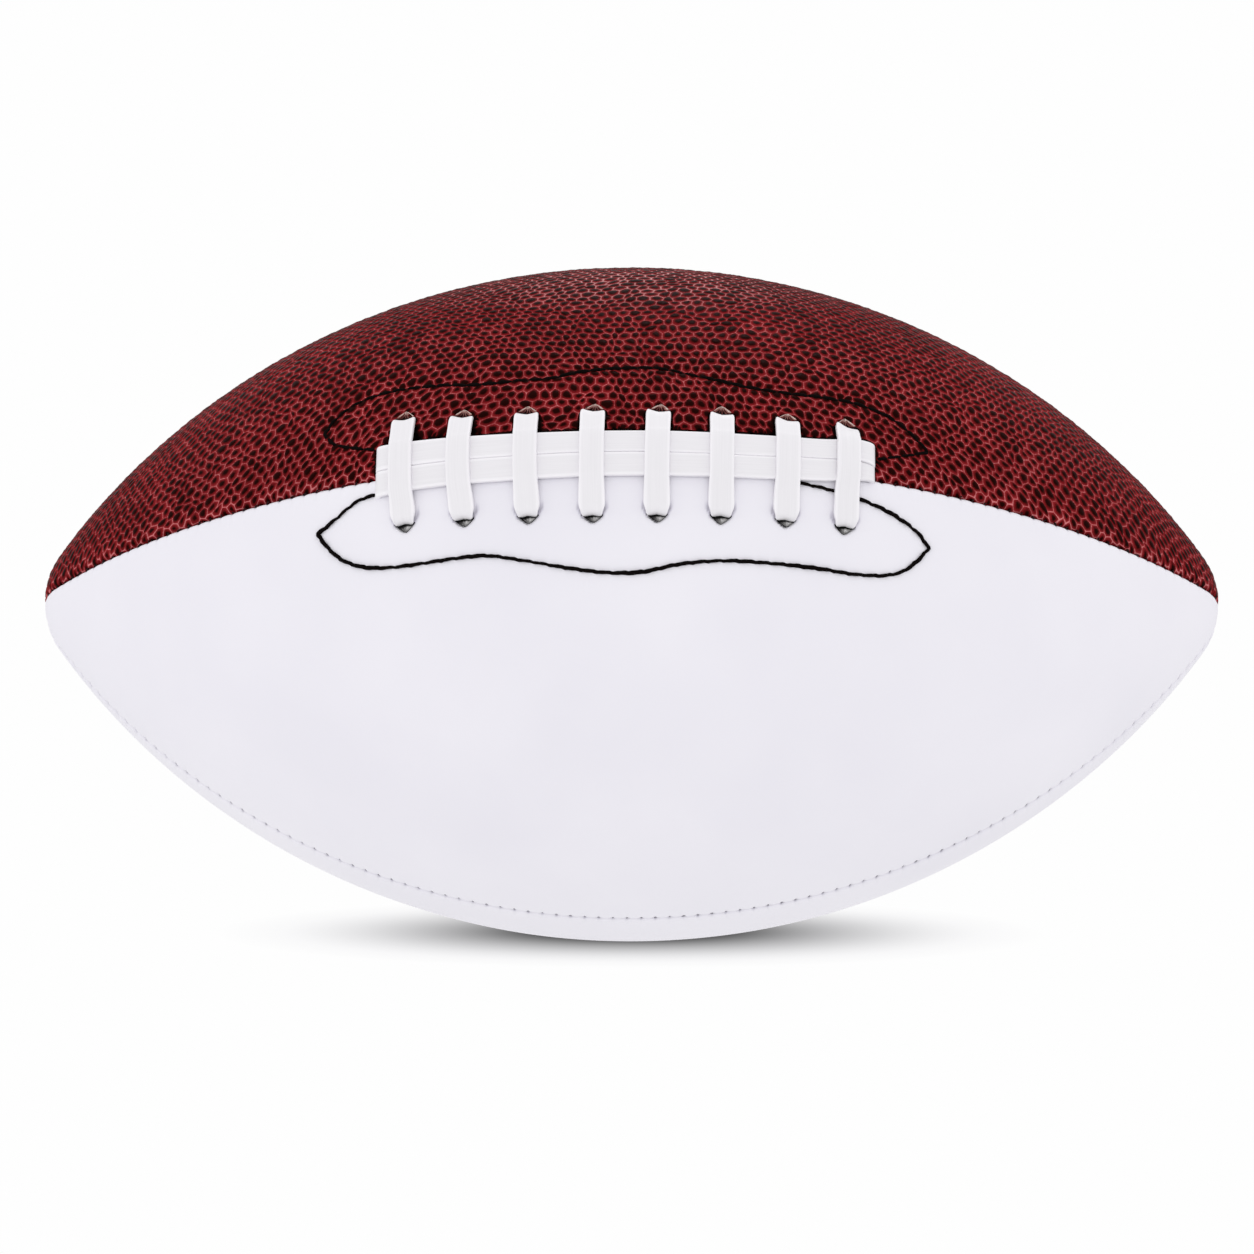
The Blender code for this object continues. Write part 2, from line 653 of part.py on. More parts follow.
def make_bag(name, groove, extra, finish_material):
    """A closed bag of the bladder's form, sunk by extra, with a point at each end."""
    s = STATIONS[1:-1]
    bm = bmesh.new()
    verts = add_grid(bm, bladder_ring(s, groove, extra), closed=True)
    for row, end in ((0, -1), (-1, 1)):
        pole = bm.verts.new(exact_point(end * POLE_ARC, np.float64(0.0), BLADDER_DEPTH + extra))
        for a, b in zip(verts[row], verts[row][1:] + verts[row][:1]):
            bm.faces.new([pole, a, b])
    return finish(name, bm, finish_material)


def make_bladder(opening, finish_material):
    """The rubber bag: its outer form less its hollow, which is open at the valve."""
    groove = SEAM_GAP / 2 + PANEL_THICKNESS + PLAY
    bladder = make_bag("bladder", groove, 0.0, finish_material)
    hollow = hidden(make_bag("bladder_hollow", 0.0, BLADDER_WALL, finish_material))
    cut(hollow, opening, "UNION")
    cut(bladder, hollow)


def valve_place():
    share = 1 - share_of(BROWN_BACK, 0.0, VALVE_FROM_SEAM, 0.0)
    skin = on_gore(BROWN_BACK, 0.0, share, 0.0)
    inner = on_gore(BROWN_BACK, 0.0, share, VALVE_FLANGE_RADIUS)
    return skin, local_frame(skin, inner)


def turned(name, outline, finish_material, sides):
    """A body turned about the valve's axis from an outline of radius and depth, outside in."""
    skin, (outward, lengthwise, sidewise) = valve_place()
    turn = np.arange(sides) * 2 * math.pi / sides
    spokes = np.cos(turn)[:, None] * lengthwise + np.sin(turn)[:, None] * sidewise
    bm = bmesh.new()
    hollow = outline[0][0] > 0
    loop = outline + outline[:1] if hollow else outline
    rings = np.stack([skin - outward * depth + spokes * radius for radius, depth in loop], axis=0)
    add_grid(bm, rings, closed=True)
    return finish(name, bm, finish_material)


def make_valve(materials):
    """The housing with its bore, and the plug that fills it."""
    bore = PLUG_RADIUS + TOUCH
    under = BLADDER_DEPTH + BLADDER_WALL + FACET_SAG + TOUCH
    rim = under + VALVE_FLANGE_RADIUS ** 2 / BALL_DIAMETER
    neck = VALVE_STEM_RADIUS
    plug_end = VALVE_HEAD_RECESS + PLUG_LENGTH
    floor = plug_end + TOUCH
    housing = [(bore, VALVE_HEAD_RECESS), (VALVE_HEAD_RADIUS, VALVE_HEAD_RECESS),
               (VALVE_HEAD_RADIUS, PANEL_THICKNESS), (neck, LINING_INNER), (neck, under),
               (VALVE_FLANGE_RADIUS, rim), (VALVE_FLANGE_RADIUS, rim + VALVE_FLANGE_THICKNESS),
               (neck, rim + 2 * VALVE_FLANGE_THICKNESS),
               (neck, VALVE_LENGTH - PLUG_RADIUS), (neck - PLUG_RADIUS / 2, VALVE_LENGTH),
               (NEEDLE_SLIT_RADIUS, VALVE_LENGTH), (NEEDLE_SLIT_RADIUS, floor), (bore, floor)]
    plug = [(NEEDLE_HOLE_RADIUS, VALVE_HEAD_RECESS), (PLUG_RADIUS, VALVE_HEAD_RECESS),
            (PLUG_RADIUS, plug_end), (NEEDLE_HOLE_RADIUS, plug_end)]
    turned("valve_housing", housing, materials["valve"], ROUND_SIDES)
    turned("valve_plug", plug, materials["plug"], ROUND_SIDES // 2)


def make_valve_cutter(name, radius, depth, finish_material):
    outline = [(0.0, -PANEL_THICKNESS), (radius, -PANEL_THICKNESS), (radius, depth), (0.0, depth)]
    return hidden(turned(name, outline, finish_material, ROUND_SIDES))


# Threads

def make_seam_thread(name, seam, s, finish_material):
    """A thread that lies in the valley of a seam, between the two rolled edges."""
    half = SEAM_THREAD_DIAMETER / 2
    wide = SEAM_ROLL_RADIUS + SEAM_GAP / 2
    depth = SEAM_ROLL_RADIUS - math.sqrt((SEAM_ROLL_RADIUS + half + TOUCH) ** 2 - wide ** 2)
    points = on_gore(seam, s, 0.0, depth)
    outward = points - on_gore(seam, s, 0.0, depth + LINING_THICKNESS)
    bm = bmesh.new()
    add_thread(bm, points, outward, SEAM_THREAD_DIAMETER)
    return finish(name, bm, finish_material)


def make_seam_threads(brown, white):
    """One thread for each seam; the lace seam has two, from the lacing to each point."""
    whole = STATIONS[2:-2]
    start = ALLOWANCE_START
    half = np.concatenate([[start], whole[whole > start + LACE_TAIL / 2]])
    make_seam_thread("right_lace_seam_thread", LACE_SEAM, half, brown)
    make_seam_thread("left_lace_seam_thread", LACE_SEAM, -half[::-1], brown)
    make_seam_thread("back_seam_thread", BACK_SEAM, whole, brown)
    make_seam_thread("bottom_seam_thread", BOTTOM_SEAM, whole, white)
    make_seam_thread("lower_seam_thread", LOWER_SEAM, whole, white)


def make_facing_stitch(name, side, finish_material):
    """The black lock stitch: in from the lacing, round the point, and along the wavy edge."""
    edge = np.linspace(-STITCH_TIP[0], STITCH_TIP[0], STITCH_POINTS)
    run_in = np.array([STITCH_INNER_END, np.add(STITCH_INNER_END, STITCH_TIP) / 2])
    s = np.concatenate([-run_in[:, 0], edge, run_in[::-1, 0]])
    away = np.concatenate([run_in[:, 1], stitch_line(edge), run_in[::-1, 1]])
    depth = -(TOUCH + STITCH_THREAD_DIAMETER / 2)
    points = by_lacing(s, side * away, depth)
    outward = points - by_lacing(s, side * away, 0.0)
    bm = bmesh.new()
    add_thread(bm, points, outward, STITCH_THREAD_DIAMETER)
    return finish(name, bm, finish_material)


def main():
    clear_scene()
    materials = {
        "brown": material("brown_leather", (0.12, 0.016, 0.014), 0.45),
        "white": material("white_leather", (0.84, 0.84, 0.88), 0.45),
        "lining": material("lining_cloth", (0.62, 0.58, 0.50), 0.9),
        "facing": material("facing_leather", (0.45, 0.38, 0.30), 0.8),
        "bladder": material("bladder_rubber", (0.03, 0.03, 0.03), 0.6),
        "valve": material("valve_rubber", (0.05, 0.05, 0.05), 0.5),
        "plug": material("plug_rubber", (0.10, 0.10, 0.10), 0.5),
        "lace": material("lace_vinyl", (0.90, 0.90, 0.90), 0.4),
        "white_thread": material("white_thread", (0.80, 0.80, 0.80), 0.8),
        "brown_thread": material("brown_thread", (0.08, 0.02, 0.015), 0.8),
        "black_thread": material("black_thread", (0.01, 0.01, 0.01), 0.7),
    }
    slots = make_slot_cutter(materials["lace"])
    panel_hole = make_valve_cutter("valve_hole_cutter", VALVE_HEAD_RADIUS + TOUCH,
                                   BLADDER_DEPTH, materials["valve"])
    bladder_hole = make_valve_cutter("bladder_hole_cutter", VALVE_STEM_RADIUS + TOUCH,
                                     VALVE_LENGTH, materials["valve"])

    gores = (("brown_lace", BROWN_LACE, "brown"), ("brown_back", BROWN_BACK, "brown"),
             ("white_bottom", WHITE_BOTTOM, "white"), ("white_lace", WHITE_LACE, "white"))
    for name, gore, colour in gores:
        panel = make_panel(name + "_panel", gore, materials[colour])
        lining = make_lining(name + "_lining", gore, materials["lining"])
        for sheet in (panel, lining):
            if gore in (BROWN_LACE, WHITE_LACE):
                cut(sheet, slots)
            if gore == BROWN_BACK:
                cut(sheet, panel_hole)

    for name, side in (("brown_lace", 1), ("white_lace", -1)):
        facing = make_facing(name + "_facing", side, materials["facing"])
        cut(facing, slots)
        make_facing_stitch(name + "_facing_stitch", side, materials["black_thread"])

    make_guard(materials["facing"])
    make_lace(materials["lace"])
    make_bladder(bladder_hole, materials["bladder"])
    make_valve(materials)

    make_seam_threads(materials["brown_thread"], materials["white_thread"])


main()
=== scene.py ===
"""An American football of composite leather, laid on its side with the lacing to the front."""
import math

import bpy
import numpy as np
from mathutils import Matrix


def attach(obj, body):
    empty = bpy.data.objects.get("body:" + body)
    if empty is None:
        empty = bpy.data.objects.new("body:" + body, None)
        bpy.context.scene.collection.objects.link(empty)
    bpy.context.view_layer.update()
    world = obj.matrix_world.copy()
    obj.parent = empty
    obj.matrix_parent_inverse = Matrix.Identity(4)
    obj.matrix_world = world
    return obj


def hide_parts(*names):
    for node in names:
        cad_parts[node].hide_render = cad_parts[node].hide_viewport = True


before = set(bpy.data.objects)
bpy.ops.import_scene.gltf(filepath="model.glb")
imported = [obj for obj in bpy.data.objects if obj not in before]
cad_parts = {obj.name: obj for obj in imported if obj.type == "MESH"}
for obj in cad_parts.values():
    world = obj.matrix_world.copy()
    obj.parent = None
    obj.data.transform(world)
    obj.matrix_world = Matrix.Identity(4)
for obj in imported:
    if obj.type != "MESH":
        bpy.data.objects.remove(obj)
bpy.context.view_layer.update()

# Brown leather panels
# Two of the four gores are cut from composite leather: a cloth-backed sheet with a skin of
# polyurethane, pressed hot against an engraved plate that raises round pebbles out of a net of
# fine valleys. They are sewn inside out and turned, so each edge rolls down into its seam.

BALL_LENGTH = 0.280
BALL_RADIUS = 0.0802
NOSE_RADIUS = 0.0196
NOSE_CENTRE = BALL_LENGTH / 2 - NOSE_RADIUS
BELLY_RADIUS = ((NOSE_CENTRE ** 2 + BALL_RADIUS ** 2 - NOSE_RADIUS ** 2)
                / (2 * (BALL_RADIUS - NOSE_RADIUS)))
TANGENT_ANGLE = math.asin(NOSE_CENTRE / (BELLY_RADIUS - NOSE_RADIUS))
BELLY_ARC = BELLY_RADIUS * TANGENT_ANGLE
POLE_ARC = BELLY_ARC + NOSE_RADIUS * (math.pi / 2 - TANGENT_ANGLE)
REST_HEIGHT = -0.0797

BROWN_LACE, BROWN_BACK, WHITE_BOTTOM, WHITE_LACE = range(4)
LACE_SEAM, BACK_SEAM, BOTTOM_SEAM, LOWER_SEAM = range(4)
SEAM_ANGLES = np.radians([29.0, 119.0, 209.0, 299.0])
SEAM_DRAWS = np.radians([-2.5, 0.0, 0.0, 4.0])
SEAM_GAP = 0.0003
LEATHER_THICKNESS = 0.0018
BROWN_ROLL = 0.0016
BURIED_EDGE = 0.0012
SEAM_STITCH = 0.0033

# The turned edge never takes more than these shares of a gore's half width, near the points.
GAP_SHARE, ROLL_SHARE, BURIED_SHARE = 0.1, 0.35, 0.2
SEWN_END = POLE_ARC - 0.004
PULL_REACH = 0.0011
PULL_DOWN = 0.7


def meridian(s, depth=0.0):
    """Station, radius and lean of the ball's outline at arc s: a long belly arc that runs into a
    small round nose at each end, both sunk by depth. The lean is the normal's angle to upright."""
    bend = np.abs(s)
    belly = bend <= BELLY_ARC
    lean = np.where(belly, bend / BELLY_RADIUS, TANGENT_ANGLE + (bend - BELLY_ARC) / NOSE_RADIUS)
    arc = np.where(belly, BELLY_RADIUS, NOSE_RADIUS) - depth
    x = np.where(belly, 0.0, NOSE_CENTRE) + arc * np.sin(lean)
    r = np.where(belly, BALL_RADIUS - BELLY_RADIUS, 0.0) + arc * np.cos(lean)
    return np.sign(s) * x, r, np.sign(s) * lean


def seam_at(seam, s):
    """Angle of a seam round the ball; two of them drift towards the points as the square of s."""
    turns, index = divmod(seam, 4)
    drift = np.minimum(np.abs(s) / BELLY_ARC, 1.0) ** 2
    return SEAM_ANGLES[index] + turns * 2 * math.pi + SEAM_DRAWS[index] * drift


def skin(s, angle, depth=0.0):
    """Point at arc s and angle round the ball, sunk by depth, and pressed flat where it rests."""
    x, r, _ = meridian(s, depth)
    point = np.stack([x, -r * np.cos(angle), r * np.sin(angle)], axis=-1)
    point[..., 2] = np.maximum(point[..., 2], REST_HEIGHT)
    return point


def outward(s, angle):
    """Direction away from the ball: the meridian's normal, turned round to the angle."""
    _, _, lean = meridian(s)
    return np.stack([np.sin(lean), -np.cos(lean) * np.cos(angle), np.cos(lean) * np.sin(angle)], axis=-1)


def smooth(value, start, end):
    """Nought before start, one after end, and an S curve between."""
    t = np.clip((value - start) / (end - start), 0.0, 1.0)
    return t * t * (3 - 2 * t)


def gore_size(gore, s, roll):
    """Half width of the gore on the skin, its roll's radius there, and its half width laid flat,
    roll and buried edge included. All three die away together at the points."""
    _, r, _ = meridian(s)
    half = r * (seam_at(gore + 1, s) - seam_at(gore, s)) / 2
    half = half - np.minimum(SEAM_GAP / 2, GAP_SHARE * half)
    bend = np.clip(ROLL_SHARE * half, 0.0, roll)
    buried = np.clip(BURIED_SHARE * half, 0.0, BURIED_EDGE)
    return half, bend, half + (math.pi / 2 - 1) * bend + buried


def stitch_pull(s):
    """One at each seam stitch and nought midway between: what is left of a bow from one to the next."""
    return (1 - np.abs(np.sin(math.pi * s / SEAM_STITCH))) ** 2


def leather(gore, s, w, lift, roll, pull):
    """Point of a gore's face from the flat cut: s along it, w across from its middle line.

    On the crown w is wrapped round the ball. Near the edge it goes over a quarter circle and
    then straight down into the seam. Stitches pull the edge down and away from its neighbour,
    which dies away from the seam and towards the points. The lift stands along the normal.
    Returns the point and its distance round the ball from the middle line.
    """
    half, bend, flat = gore_size(gore, s, roll)
    side = np.where(w < 0, -1.0, 1.0)
    q = flat - np.abs(w) - (flat - half - (math.pi / 2 - 1) * bend)
    turn = np.clip(q / np.maximum(bend, 1e-6), 0.0, math.pi / 2)
    on_crown = np.maximum(q - bend * math.pi / 2, 0.0)
    from_edge = bend * (1 - np.cos(turn)) + on_crown
    depth = bend * (1 - np.sin(turn)) + np.maximum(-q, 0.0)
    pulled = pull * stitch_pull(s) * np.exp(-np.maximum(q, 0.0) / PULL_REACH) * smooth(half, 0.002, 0.02)
    depth = depth + PULL_DOWN * pulled
    from_edge = from_edge + pulled * smooth(q, -0.001, 0.0006)
    _, r, _ = meridian(s)
    middle = (seam_at(gore, s) + seam_at(gore + 1, s)) / 2
    angle = middle + side * (half - from_edge) / np.maximum(r, 1e-5)
    around = np.stack([0 * angle, np.sin(angle), np.cos(angle)], axis=-1) * side[..., None]
    direction = outward(s, angle) * np.sin(turn)[..., None] + around * np.cos(turn)[..., None]
    point = skin(s, angle, depth) + direction * (lift * np.sin(turn) ** 2)[..., None]
    point[..., 2] = np.maximum(point[..., 2], REST_HEIGHT)
    return point, half - from_edge


PEBBLE_PITCH = 0.0025
PEBBLE_RELIEF = 0.00036
PEBBLE_SHAKE = 0.26
PEBBLE_SIZES = (0.84, 1.10)
PEBBLE_HEIGHTS = (0.75, 1.15)
LATTICE_SWAY = 0.8
CORNER_SHARE, SIDE_SHARE = 0.72, 0.82
SHOULDER_CLIMB, TOP_CLIMB = 0.62, 1.5
SHOULDER_HEIGHT = 0.72


def pebble_lattice(pitch, half_length, half_width, seed):
    """Flat pebbles: a hexagonal lattice with shaken middles, its corners shared by three cells.

    The middles also sway by a slow wave each way, so that no row stays straight. Each cell has
    a middle and a shoulder ring of twelve points: six towards its corners and six towards its
    sides, at their shares of the way out. Returns the flat points, their climb out of the
    valley, height (1 on top) and the cell's own tone as three columns, and the triangles.
    """
    rng = np.random.default_rng(seed)
    rise = pitch * math.sqrt(0.75)
    rows = int(2 * half_width / rise) + 5
    columns = int(2 * half_length / pitch) + rows // 2 + 6
    j, i = np.mgrid[0:rows, 0:columns].astype(float)
    along, aside = i + j / 2 - (columns + rows / 2) / 2, j - (rows - 1) / 2
    middles = np.stack([along * pitch, aside * rise], axis=-1)
    middles += rng.normal(0.0, PEBBLE_SHAKE * pitch, middles.shape)
    x, y = middles[..., 0], middles[..., 1]
    wave = np.stack([np.sin(y / 0.011 + 2.1 * np.sin(x / 0.037)),
                     np.sin(x / 0.015 + 1.7 * np.sin(y / 0.029))], axis=-1)
    middles += LATTICE_SWAY * pitch * wave
    up = (middles[:-1, :-1] + middles[:-1, 1:] + middles[1:, :-1]) / 3
    down = (middles[:-1, 1:] + middles[1:, 1:] + middles[1:, :-1]) / 3
    number = np.arange(up[..., 0].size).reshape(up.shape[:2])
    lower = number + number.size
    ring = np.stack([number[1:, 1:], lower[1:, :-1], number[1:, :-1],
                     lower[:-1, :-1], number[:-1, 1:], lower[:-1, 1:]], axis=-1).reshape(-1, 6)
    valley = np.concatenate([up.reshape(-1, 2), down.reshape(-1, 2)])
    corner = valley[ring]
    centre = corner.mean(axis=1, keepdims=True)
    between = (corner + np.roll(corner, -1, axis=1)) / 2
    size = rng.uniform(*PEBBLE_SIZES, (len(ring), 1, 1))
    cells = np.concatenate([centre + CORNER_SHARE * size * (corner - centre),
                            centre + SIDE_SHARE * size * (between - centre), centre], axis=1)
    climb = np.repeat([SHOULDER_CLIMB, TOP_CLIMB], [12, 1])
    tone = rng.uniform(0.0, 1.0, (len(ring), 1))
    height = np.repeat([SHOULDER_HEIGHT, 1.0], [12, 1]) * rng.uniform(*PEBBLE_HEIGHTS, (len(ring), 1))
    k = np.arange(6)
    n = (k + 1) % 6
    base = len(valley) + 13 * np.arange(len(ring))[:, None]
    inner = {"corner": base + k, "next": base + n, "mid": base + 6 + k, "centre": base + 12 + 0 * k}
    edge, next_edge = ring[:, k], ring[:, n]
    triangles = [(edge, next_edge, inner["mid"]), (edge, inner["mid"], inner["corner"]),
                 (next_edge, inner["next"], inner["mid"]), (inner["corner"], inner["mid"], inner["centre"]),
                 (inner["mid"], inner["next"], inner["centre"])]
    triangles = np.concatenate([np.stack(t, axis=-1).reshape(-1, 3) for t in triangles])
    nought = np.zeros(len(valley))
    half_tone = np.full(len(valley), 0.5)
    values = np.stack([np.concatenate([nought, np.tile(climb, len(ring))]),
                       np.concatenate([nought, height.ravel()]),
                       np.concatenate([half_tone, np.repeat(tone, 13)])], axis=-1)
    return np.concatenate([valley, cells.reshape(-1, 2)]), values, triangles


def clip(points, triangles, inside):
    """Keep what lies where inside is above nought, and cut the triangles that cross that line.

    A triangle with one corner held keeps a triangle, and one with two keeps a quad as two. Each
    cut edge gets one point, at the share of its length where inside is nought. Returns the
    points, the triangles and the numbers of the cut points.
    """
    held = inside[triangles] > 0
    count = held.sum(axis=1)
    turned = []
    for number, first in ((1, True), (2, False)):
        some = triangles[count == number]
        start = np.argmax(held[count == number] == first, axis=1)
        turned.append(np.take_along_axis(some, (start[:, None] + np.arange(3)) % 3, axis=1))
    one, two = turned
    pairs = np.concatenate([one[:, [0, 1]], one[:, [0, 2]], two[:, [1, 0]], two[:, [2, 0]]])
    unique, place = np.unique(pairs, axis=0, return_inverse=True)
    place = place.ravel() + len(points)
    a, b, c, d = np.split(place, [len(one), 2 * len(one), 2 * len(one) + len(two)])
    share = inside[unique[:, 0]] / (inside[unique[:, 0]] - inside[unique[:, 1]])
    cut = points[unique[:, 0]] + share[:, None] * (points[unique[:, 1]] - points[unique[:, 0]])
    kept = [triangles[count == 3], np.stack([one[:, 0], a, b], axis=-1),
            np.stack([c, two[:, 1], two[:, 2]], axis=-1), np.stack([c, two[:, 2], d], axis=-1)]
    used, number = np.unique(np.concatenate(kept), return_inverse=True)
    return np.concatenate([points, cut])[used], number.reshape(-1, 3), np.flatnonzero(used >= len(points))


def border_rows(triangles, s):
    """The two rows of points along a face's border, from its least s to its greatest, on the low and
    the high side. The border is where a triangle's edge has no partner, followed point by point."""
    edges = np.concatenate([triangles[:, [0, 1]], triangles[:, [1, 2]], triangles[:, [2, 0]]])
    forth, back = edges[:, 0] * len(s) + edges[:, 1], edges[:, 1] * len(s) + edges[:, 0]
    after = dict(edges[~np.isin(forth, back)].tolist())
    loop = [min(after, key=lambda point: s[point])]
    while after[loop[-1]] != loop[0]:
        loop.append(after[loop[-1]])
    turn = int(np.argmax(s[loop]))
    return [np.array(loop[:turn + 1]), np.array(loop[:1] + loop[:turn - 1:-1])]


def zip_rows(first, second, first_at, second_at):
    """Triangles between two rows of points that advance together, whatever their counts."""
    after = np.searchsorted(second_at[1:], first_at[1:], side="left")
    before = np.searchsorted(first_at[1:], second_at[1:], side="right")
    along = np.stack([first[:-1], first[1:], second[after]], axis=-1)
    back = np.stack([second[1:], second[:-1], first[before]], axis=-1)
    return np.concatenate([along, back])


BACK_ROWS, BACK_COLUMNS = 61, 9


def backed(gore, outer, triangles, rows, stations):
    """Give a face its thickness: both border rows go down a step to the sheet's back.

    The back is a plain grid at the leather's thickness. Strips of triangles join it to the
    steps, and a fan closes each point of the gore.
    """
    middle_s = np.linspace(-SEWN_END, SEWN_END, BACK_ROWS)
    shares = np.linspace(0.06, 0.94, BACK_COLUMNS)
    start, width = seam_at(gore, middle_s), seam_at(gore + 1, middle_s) - seam_at(gore, middle_s)
    back = np.stack([skin(middle_s, start + width * share, LEATHER_THICKNESS) for share in shares])
    points, faces, edges = [outer], [triangles], []
    count = len(outer)
    for row, at, seam, side in ((rows[0], stations[0], gore, 1), (rows[1], stations[1], gore + 1, -1)):
        _, r, _ = meridian(at)
        step = np.minimum(LEATHER_THICKNESS, 0.3 * r) / np.maximum(r, 1e-5)
        depth = LEATHER_THICKNESS + 0.1 * BURIED_EDGE
        points.append(skin(at, seam_at(seam, at) + side * step, depth))
        edge = count + np.arange(len(row))
        count += len(row)
        edges.append(edge)
        quad = np.stack([row[:-1], row[1:], edge[1:], edge[:-1]][::side], axis=-1)
        faces += [quad[:, [0, 3, 2]], quad[:, [0, 2, 1]]]
    grid = count + np.arange(back[..., 0].size).reshape(back.shape[:2])
    points.append(back.reshape(-1, 3))
    faces.append(zip_rows(edges[0], grid[0], stations[0], middle_s)[:, ::-1])
    faces.append(zip_rows(grid[-1], edges[1], middle_s, stations[1])[:, ::-1])
    quad = np.stack([grid[:-1, :-1], grid[1:, :-1], grid[1:, 1:], grid[:-1, 1:]], axis=-1).reshape(-1, 4)
    faces += [quad[:, :3], quad[:, [0, 2, 3]]]
    for end, flip in ((0, -1), (-1, 1)):
        fan = np.concatenate([[edges[0][end]], grid[:, end], [edges[1][end]], [rows[0][end]]])
        triangle = np.stack([0 * fan[1:-1] + fan[0], fan[1:-1], fan[2:]], axis=-1)
        faces.append(triangle[:, ::flip])
    return np.concatenate(points), np.concatenate(faces)


def make_mesh(name, points, faces, values=None):
    """A smooth-shaded mesh object from arrays; each value is kept as an attribute of the points."""
    mesh = bpy.data.meshes.new(name)
    counts = np.concatenate([np.full(len(f), f.shape[1]) for f in faces])
    corners = np.concatenate([f.ravel() for f in faces])
    mesh.vertices.add(len(points))
    mesh.vertices.foreach_set("co", np.asarray(points, np.float32).ravel())
    mesh.loops.add(len(corners))
    mesh.loops.foreach_set("vertex_index", corners.astype(np.int32))
    mesh.polygons.add(len(counts))
    mesh.polygons.foreach_set("loop_start", np.concatenate([[0], np.cumsum(counts)[:-1]]).astype(np.int32))
    for key, value in (values or {}).items():
        layer = mesh.attributes.new(key, "FLOAT", "POINT")
        full = np.zeros(len(points), np.float32)
        full[:len(value)] = value
        layer.data.foreach_set("value", full)
    mesh.update(calc_edges=True)
    mesh.validate()
    mesh.shade_smooth()
    made = bpy.data.objects.new(name, mesh)
    bpy.context.scene.collection.objects.link(made)
    return made


def linear(hexadecimal):
    """A colour written as sRGB, such as 8C2A2E, turned to the linear light that Blender reckons in."""
    parts = [int(hexadecimal[i:i + 2], 16) / 255 for i in (0, 2, 4)]
    return [c / 12.92 if c <= 0.04045 else ((c + 0.055) / 1.055) ** 2.4 for c in parts] + [1.0]


def add_node(tree, kind, inputs=None, stops=None, **settings):
    """Add a node. inputs gives each socket a value or another node's output; stops fill a ramp."""
    node = tree.nodes.new(kind)
    for key, value in settings.items():
        setattr(node, key, value)
    for key, value in (inputs or {}).items():
        if isinstance(value, bpy.types.NodeSocket):
            tree.links.new(value, node.inputs[key])
        else:
            node.inputs[key].default_value = value
    for place, (at, colour) in enumerate(stops or ()):
        elements = node.color_ramp.elements
        element = elements[place] if place < 2 else elements.new(at)
        element.position = at
        element.color = linear(colour)
    return node


def new_material(name):
    """An empty material and its node tree."""
    made = bpy.data.materials.new(name)
    made.use_nodes = True
    made.node_tree.nodes.clear()
    return made, made.node_tree


# Patterns are given as cells in a metre: patches of 14 mm, pores of 0.4 mm and smears of 1.1 mm.
PATCHES, PORES, SMEARS = 70.0, 2600.0, 900.0
# Heights on the top of the ball over which the pale painted highlight comes into the valleys.
GLINT_FROM, GLINT_FULL = 0.071, 0.079
# Climb that marks the painted shadow of the lace: past any pebble's, so the ramp turns it dark.
LACE_SHADOW_CLIMB = 3.0


